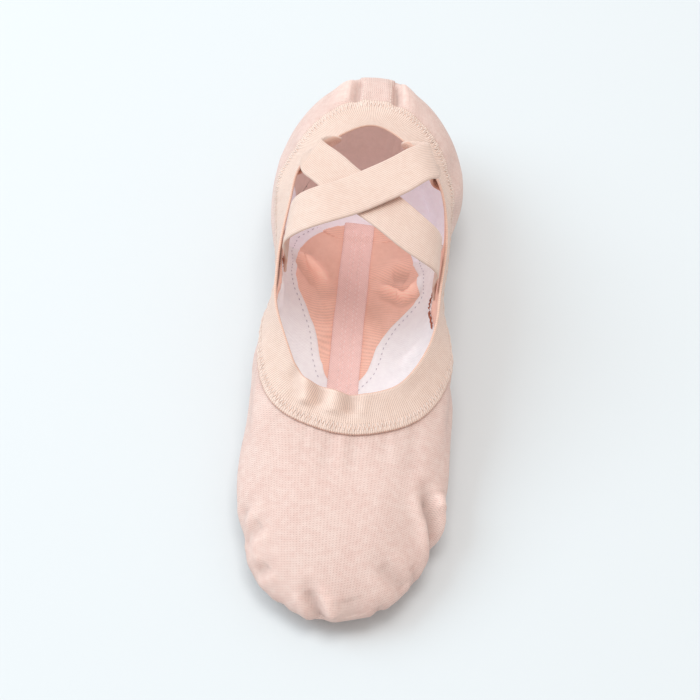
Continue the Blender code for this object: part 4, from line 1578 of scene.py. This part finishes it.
@dataclass
class Insole:
    """A padded insole under its cloth, rounded at the edge.

    In front of border, a Y on the middle line, the heel's pad lies under the stretch canvas.
    The border falls away from there by border_bend x^2, and the pad's front edge sinks into
    the canvas.
    """

    cloth: Cloth
    area: Area
    finish: Finish
    margin: float = 0.0005
    height: float = 0.0014
    side_slope: float = 0.004
    end_slope: float = 0.004
    rim: float = 0.25
    sink: float = 0.0
    sink_length: float = 0.007
    border: float | None = None
    border_bend: float = 14.0
    stations: int = 70
    across: int = 31

    def outline(self, inset: float, inner_end: float) -> tuple[Array, Array, Array]:
        """Y stations and the left and right edges, as an inset feather line with an oval end."""
        last = self.cloth.last
        toe_side = self.area is Area.FOREFOOT
        line = last.feather_line - last.feather_out * inset
        outer_end = line[:, 1].min() if toe_side else line[:, 1].max()
        half = (inner_end - outer_end) / 2
        angle = np.linspace(0.02, 1, self.stations) * math.pi
        y = outer_end + half - half * np.cos(angle)
        heel = len(line) // 2
        right, left = line[: heel + 1], line[: heel - 1 : -1]
        edges = [np.interp(y, side[:, 1], side[:, 0]) for side in (left, right)]
        middle = (edges[0] + edges[1]) / 2
        from_end = np.clip(np.abs(inner_end - y) / last.sole_end_round, 0, 1)
        close = np.sqrt(1 - (1 - from_end) ** 2)
        half_width = np.maximum((edges[1] - edges[0]) / 2 * close, 0.0015)
        return y, middle - half_width, middle + half_width

    def build(self) -> list[bpy.types.Object]:
        """The pad: a floor grid and a crowned top grid that meet at the edge."""
        last = self.cloth.last
        front, back = last.sole_gap
        toe_side = self.area is Area.FOREFOOT
        end = front - self.margin if toe_side else back + self.margin
        y, left, right = self.outline(last.sole_inset + self.margin, end)
        share = (1 - np.cos(np.linspace(0, 1, self.across) * math.pi)) / 2
        x = left[:, None] + (right - left)[:, None] * share
        grid_y = np.broadcast_to(y[:, None], x.shape)
        sunk = self.sink * smooth(self.sink_length, 0.0, np.abs(y - end))[:, None]
        floor = last.floor(grid_y) - sunk
        to_side = np.minimum(x - left[:, None], right[:, None] - x)
        to_end = np.minimum(np.abs(y - end), np.abs(y - y[0]))[:, None]
        rise = np.clip(np.minimum(to_side / self.side_slope, to_end / self.end_slope), 0, 1)
        dome = np.sqrt(1 - (1 - rise) ** 2)
        crown = self.height * (self.rim + (1 - self.rim) * dome)
        low = np.stack([x, grid_y, floor], -1)
        high = np.stack([x, grid_y, floor + crown], -1)
        pad = loft(f"{self.area.value}_pad", sheet_sections(low, high), sheet_uv(grid_y, x))
        dress(pad, self.finish, f"{self.area.value}_insole")
        if self.border is not None:
            paint(pad, SALMON, self.in_front)
        return [pad]

    def in_front(self, centres: Array, _: Array) -> Array:
        """Which faces lie in front of the border."""
        return centres[:, 1] < self.border - self.border_bend * centres[:, 0] ** 2


@dataclass
class HeelSock:
    """The mauve sock over the heel's seat and a little way up the back."""

    cloth: Cloth
    # On the left the sock runs further forward and up the wall, and its mauve there also paints
    # the shade on the white lining.
    low_turn: float = 0.445
    high_turn: float = 0.603
    low_left: float = 4.2
    top: float = 2.9
    columns: int = 70
    rows: int = 36
    inset: float = 0.0017
    thickness: float = 0.0004
    clearance: float = 0.0001
    corner: float = 0.557
    corner_width: float = 0.02
    corner_drop: float = 0.9

    def layer(self, turn: Array, levels: Array, distance: float) -> Array:
        """Points inside the heel at a distance, kept clear above the pad on the seat."""
        points = self.cloth.surface(turn, levels, -distance)
        last = self.cloth.last
        pad = last.floor(points[..., 1]) + Insole.height
        lowest = pad + distance - self.inset + self.clearance
        points[..., 2] = np.maximum(points[..., 2], lowest)
        return points

    def build(self) -> list[bpy.types.Object]:
        """The sock as a thin sheet with its front corner rounded off."""
        turn = np.linspace(self.low_turn, self.high_turn, self.columns)
        share = np.linspace(0, 1, self.rows)
        to_side = np.minimum(turn - self.low_turn, self.high_turn - turn)
        top = self.top + self.corner_drop * (1 - smooth(0.0, self.corner_width, to_side))
        low = np.interp(turn, (self.corner, self.high_turn), (5.0, self.low_left))
        levels = top[:, None] + (low - top)[:, None] * share
        near = self.layer(turn, levels, self.inset + self.thickness)
        far = self.layer(turn, levels, self.inset)
        flat = self.cloth.cloth_map(turn, levels)
        sock = loft("heel_sock", sheet_sections(near, far), sheet_values(flat, flat))
        return [dress(sock, SOCK)]


@dataclass
class ArchTape:
    """The woven tape along the arch, with rows of pale dashes."""

    cloth: Cloth
    width: float = 0.012
    thickness: float = 0.0008
    end: float = 0.0684
    overlap: float = 0.004
    climb: float = 0.0016
    climb_ends: tuple[float, float] = (-0.0015, 0.0020)
    wave: Waves = ((0.00025, 210, 2.4), (0.0002, 95, -3))
    dash_rows: tuple[tuple[float, float], ...] = (
        (-0.20, 0.0), (-0.08, 0.0012), (0.12, 0.0), (0.24, 0.0012),
    )
    dash_pitch: float = 0.0024
    dash_share: float = 0.5
    dash_lift: float = 0.00022
    dash_radius: float = 0.00026
    stations: int = 120
    across: int = 13

    def surface(self, share: Array, y: Array, height: float) -> Array:
        """Points of the tape's upper side: inner floor + height, bowed by two slow sines."""
        last = self.cloth.last
        middle = -last.underside_shift * np.cos(math.pi * y / last.length)
        x = middle + share * self.width
        wave = sum(
            size * np.sin(y * rate + share * skew) for size, rate, skew in self.wave
        )
        pad = last.sole_gap[1] + last.gap
        before, after = self.climb_ends
        climb = self.climb * smooth(pad + before, pad + after, y)
        z = last.floor(y) + climb + height + wave * (height > 0)
        return np.stack([x, y, z], -1)

    def build(self) -> list[bpy.types.Object]:
        """The tape and its dashes."""
        front = self.cloth.last.sole_gap[0]
        y = np.linspace(front - self.overlap, self.end, self.stations)[:, None]
        share = np.linspace(-0.5, 0.5, self.across)[None]
        y, share = np.broadcast_arrays(y, share)
        low, high = self.surface(share, y, 0.0), self.surface(share, y, self.thickness)
        uv = sheet_uv(share * self.width, y)
        tape = loft("arch_tape_cloth", sheet_sections(low, high), uv)
        rows = []
        for place, start in self.dash_rows:
            along = np.linspace(front + start, self.end - 0.002, 200)
            points = self.surface(np.full(len(along), place), along, self.thickness)
            normals = np.broadcast_to((0.0, 0.0, 1.0), points.shape)
            line = np.concatenate([points, normals], -1)
            rows.append(running_stitches(line, self.dash_pitch, self.dash_share, self.dash_lift))
        dashes = sew("tape_dashes", rows, self.dash_radius, PALE_THREAD)
        return [dress(tape, TAPE, "arch_tape"), dashes]


@dataclass
class BackStrip:
    """The canvas strip down the middle of the heel, stitched along both sides."""

    cloth: Cloth
    width: float = 0.0145
    near: float = 0.0001
    thickness: float = 0.0005
    top: float = 1.02
    bottom: float = 3.75
    stitch_pitch: float = 0.0021
    stitch_share: float = 0.75
    stitch_lift: float = 0.00012
    stitch_place: float = 0.40
    stations: int = 70
    across: int = 11

    def per_metre(self, level: Array) -> Array:
        """How much turn one metre across the heel takes at levels (n)."""
        step = 5e-3
        last = self.cloth.last
        line = last.outside(np.array([0.5 - step, 0.5 + step]), np.tile(level, (2, 1)))
        return 2 * step / np.linalg.norm(line[1] - line[0], axis=-1)

    def build(self) -> list[bpy.types.Object]:
        """The strip and its two rows of stitches."""
        level = np.linspace(self.top, self.bottom, self.stations)
        share = np.linspace(-0.5, 0.5, self.across)
        turn = 0.5 + share[None] * self.width * self.per_metre(level)[:, None]
        flat_turn, flat_level = turn.ravel(), np.repeat(level, self.across)
        near, far = (
            self.cloth.along(flat_turn, flat_level, d).reshape(self.stations, self.across, 3)
            for d in (self.near, self.near + self.thickness)
        )
        down = chord_knots(far[:, self.across // 2])
        uv = sheet_uv(share * self.width, down[:, None])
        strip = loft("heel_strip_cloth", sheet_sections(near, far), uv)
        dress(strip, CANVAS, "back_strip")
        rows = []
        for side in (-self.stitch_place, self.stitch_place):
            places = 0.5 + side * self.width * self.per_metre(level)
            line = self.cloth.line(places, level, self.near + self.thickness)
            rows.append(
                running_stitches(line, self.stitch_pitch, self.stitch_share, self.stitch_lift)
            )
        return [strip, sew("heel_strip_stitches", rows, STITCH_RADIUS, PINK_THREAD)]


@dataclass
class SuedeSoles:
    """The two suede patches, kept as the frame has them, in a suede finish."""

    def build(self) -> list[bpy.types.Object]:
        """Gives both sole nodes the suede finish."""
        nodes = [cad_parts[f"{area.value}_sole"] for area in Area]
        for node in nodes:
            for slot in node.material_slots:
                slot.material = SUEDE.material()
        return nodes


@dataclass
class Studio:
    """A pale floor, soft lights and the camera at the photograph's angle."""

    floor_size: float = 8.0
    place: tuple[float, float, float] = (-0.00518, -0.4092, 0.5825)
    forward: tuple[float, float, float] = (-0.0674, 0.5839, -0.8090)
    right: tuple[float, float, float] = (0.9934, 0.1146, 0.0)
    focal: float = 89.6
    sensor: float = 36.0
    aim: tuple[float, float] = (476.0, 371.0)
    image: float = 700.0
    floor_colour: tuple[float, float, float, float] = (0.705, 0.73, 0.74, 1)
    air_colour: tuple[float, float, float, float] = (1.0, 0.98, 0.965, 1)
    air_strength: float = 0.70
    lamps: tuple[Lamp, ...] = (
        Lamp("key", (-1.65, 0.35, 1.5), 1.5, 23.0, (0.86, 1.06, 1.18)),
        Lamp("top", (0.0, 0.20, 2.0), 1.0, 14.5, (1.0, 0.99, 0.98)),
    )

    def floor(self) -> None:
        """A flat floor under the shoe."""
        half = self.floor_size / 2
        mesh = bpy.data.meshes.new("floor")
        corners = [(-half, -half, 0), (half, -half, 0), (half, half, 0), (-half, half, 0)]
        mesh.from_pydata(corners, [], [(0, 1, 2, 3)])
        material = bpy.data.materials.new("floor paint")
        material.use_nodes = True
        shader = material.node_tree.nodes["Principled BSDF"]
        Graph(material.node_tree).fill(shader, {"Base Color": self.floor_colour, "Roughness": 0.9})
        mesh.materials.append(material)
        floor = bpy.data.objects.new("floor", mesh)
        bpy.context.collection.objects.link(floor)

    def light(self, lamp: Lamp) -> None:
        """Hangs one lamp up, facing the shoe."""
        data = bpy.data.lights.new(lamp.name, "AREA")
        data.size, data.energy, data.color = lamp.size, lamp.power, lamp.colour
        light = bpy.data.objects.new(lamp.name, data)
        light.location = lamp.place
        light.rotation_euler = (-Vector(lamp.place)).to_track_quat("-Z", "Y").to_euler()
        bpy.context.collection.objects.link(light)

    def camera(self) -> None:
        """The camera at the photograph's place, turned on the spot towards the shoe."""
        right, forward = Vector(self.right).normalized(), Vector(self.forward).normalized()
        up = right.cross(forward)
        pixels = self.focal / self.sensor * self.image
        centre = self.image / 2
        to_shoe = forward * pixels + right * (self.aim[0] - centre) - up * (self.aim[1] - centre)
        swing = forward.rotation_difference(to_shoe).to_matrix()
        axes = swing @ Matrix((right, up, -forward)).transposed()
        data = bpy.data.cameras.new("camera")
        data.lens, data.sensor_width = self.focal, self.sensor
        camera = bpy.data.objects.new("camera", data)
        camera.matrix_world = Matrix.Translation(self.place) @ axes.to_4x4()
        bpy.context.collection.objects.link(camera)
        bpy.context.scene.camera = camera

    def build(self) -> None:
        """Floor, lights, world and camera."""
        self.floor()
        for lamp in self.lamps:
            self.light(lamp)
        world = bpy.data.worlds.new("studio air")
        world.use_nodes = True
        air = {"Color": self.air_colour, "Strength": self.air_strength}
        Graph(world.node_tree).fill(world.node_tree.nodes["Background"], air)
        bpy.context.scene.world = world
        bpy.context.scene.view_settings.view_transform = "Standard"
        self.camera()


def main() -> None:
    """Builds every sub-assembly in order."""
    logging.basicConfig(level=logging.INFO, format="%(name)s: %(message)s")
    cloth = Cloth(Last(), CREASES + ARCH_CREASES)
    lift = Strap.thickness + 2 * cloth.last.gap
    parts = (
        CanvasUpper(cloth),
        CollarElastic(cloth),
        CottonLining(cloth),
        Insole(cloth, Area.FOREFOOT, COTTON),
        # The heel pad takes the heel cotton as well, with its stronger emission of painted light.
        Insole(
            cloth, Area.HEEL, HEEL_COTTON_GLOWING,
            end_slope=0.016, rim=0.03, sink=0.0011, border=0.0690, stations=190, across=61,
        ),
        HeelSock(cloth),
        ArchTape(cloth),
        BackStrip(cloth),
        Strap(
            cloth, "over_strap", "strap_over",
            StrapEnd(0.100, -1), STRAP_OVER, StrapEnd(0.270, 1), lift,
        ),
        Strap(
            cloth, "under_strap", "strap_under",
            StrapEnd(0.073, 1), STRAP_UNDER, StrapEnd(0.270, -1), 0.0,
        ),
        SuedeSoles(),
    )
    for part in parts:
        for piece in part.build():
            LOG.info("%s: %d faces", piece.name, len(piece.data.polygons))
    Studio().build()


if __name__ == "__main__":
    main()
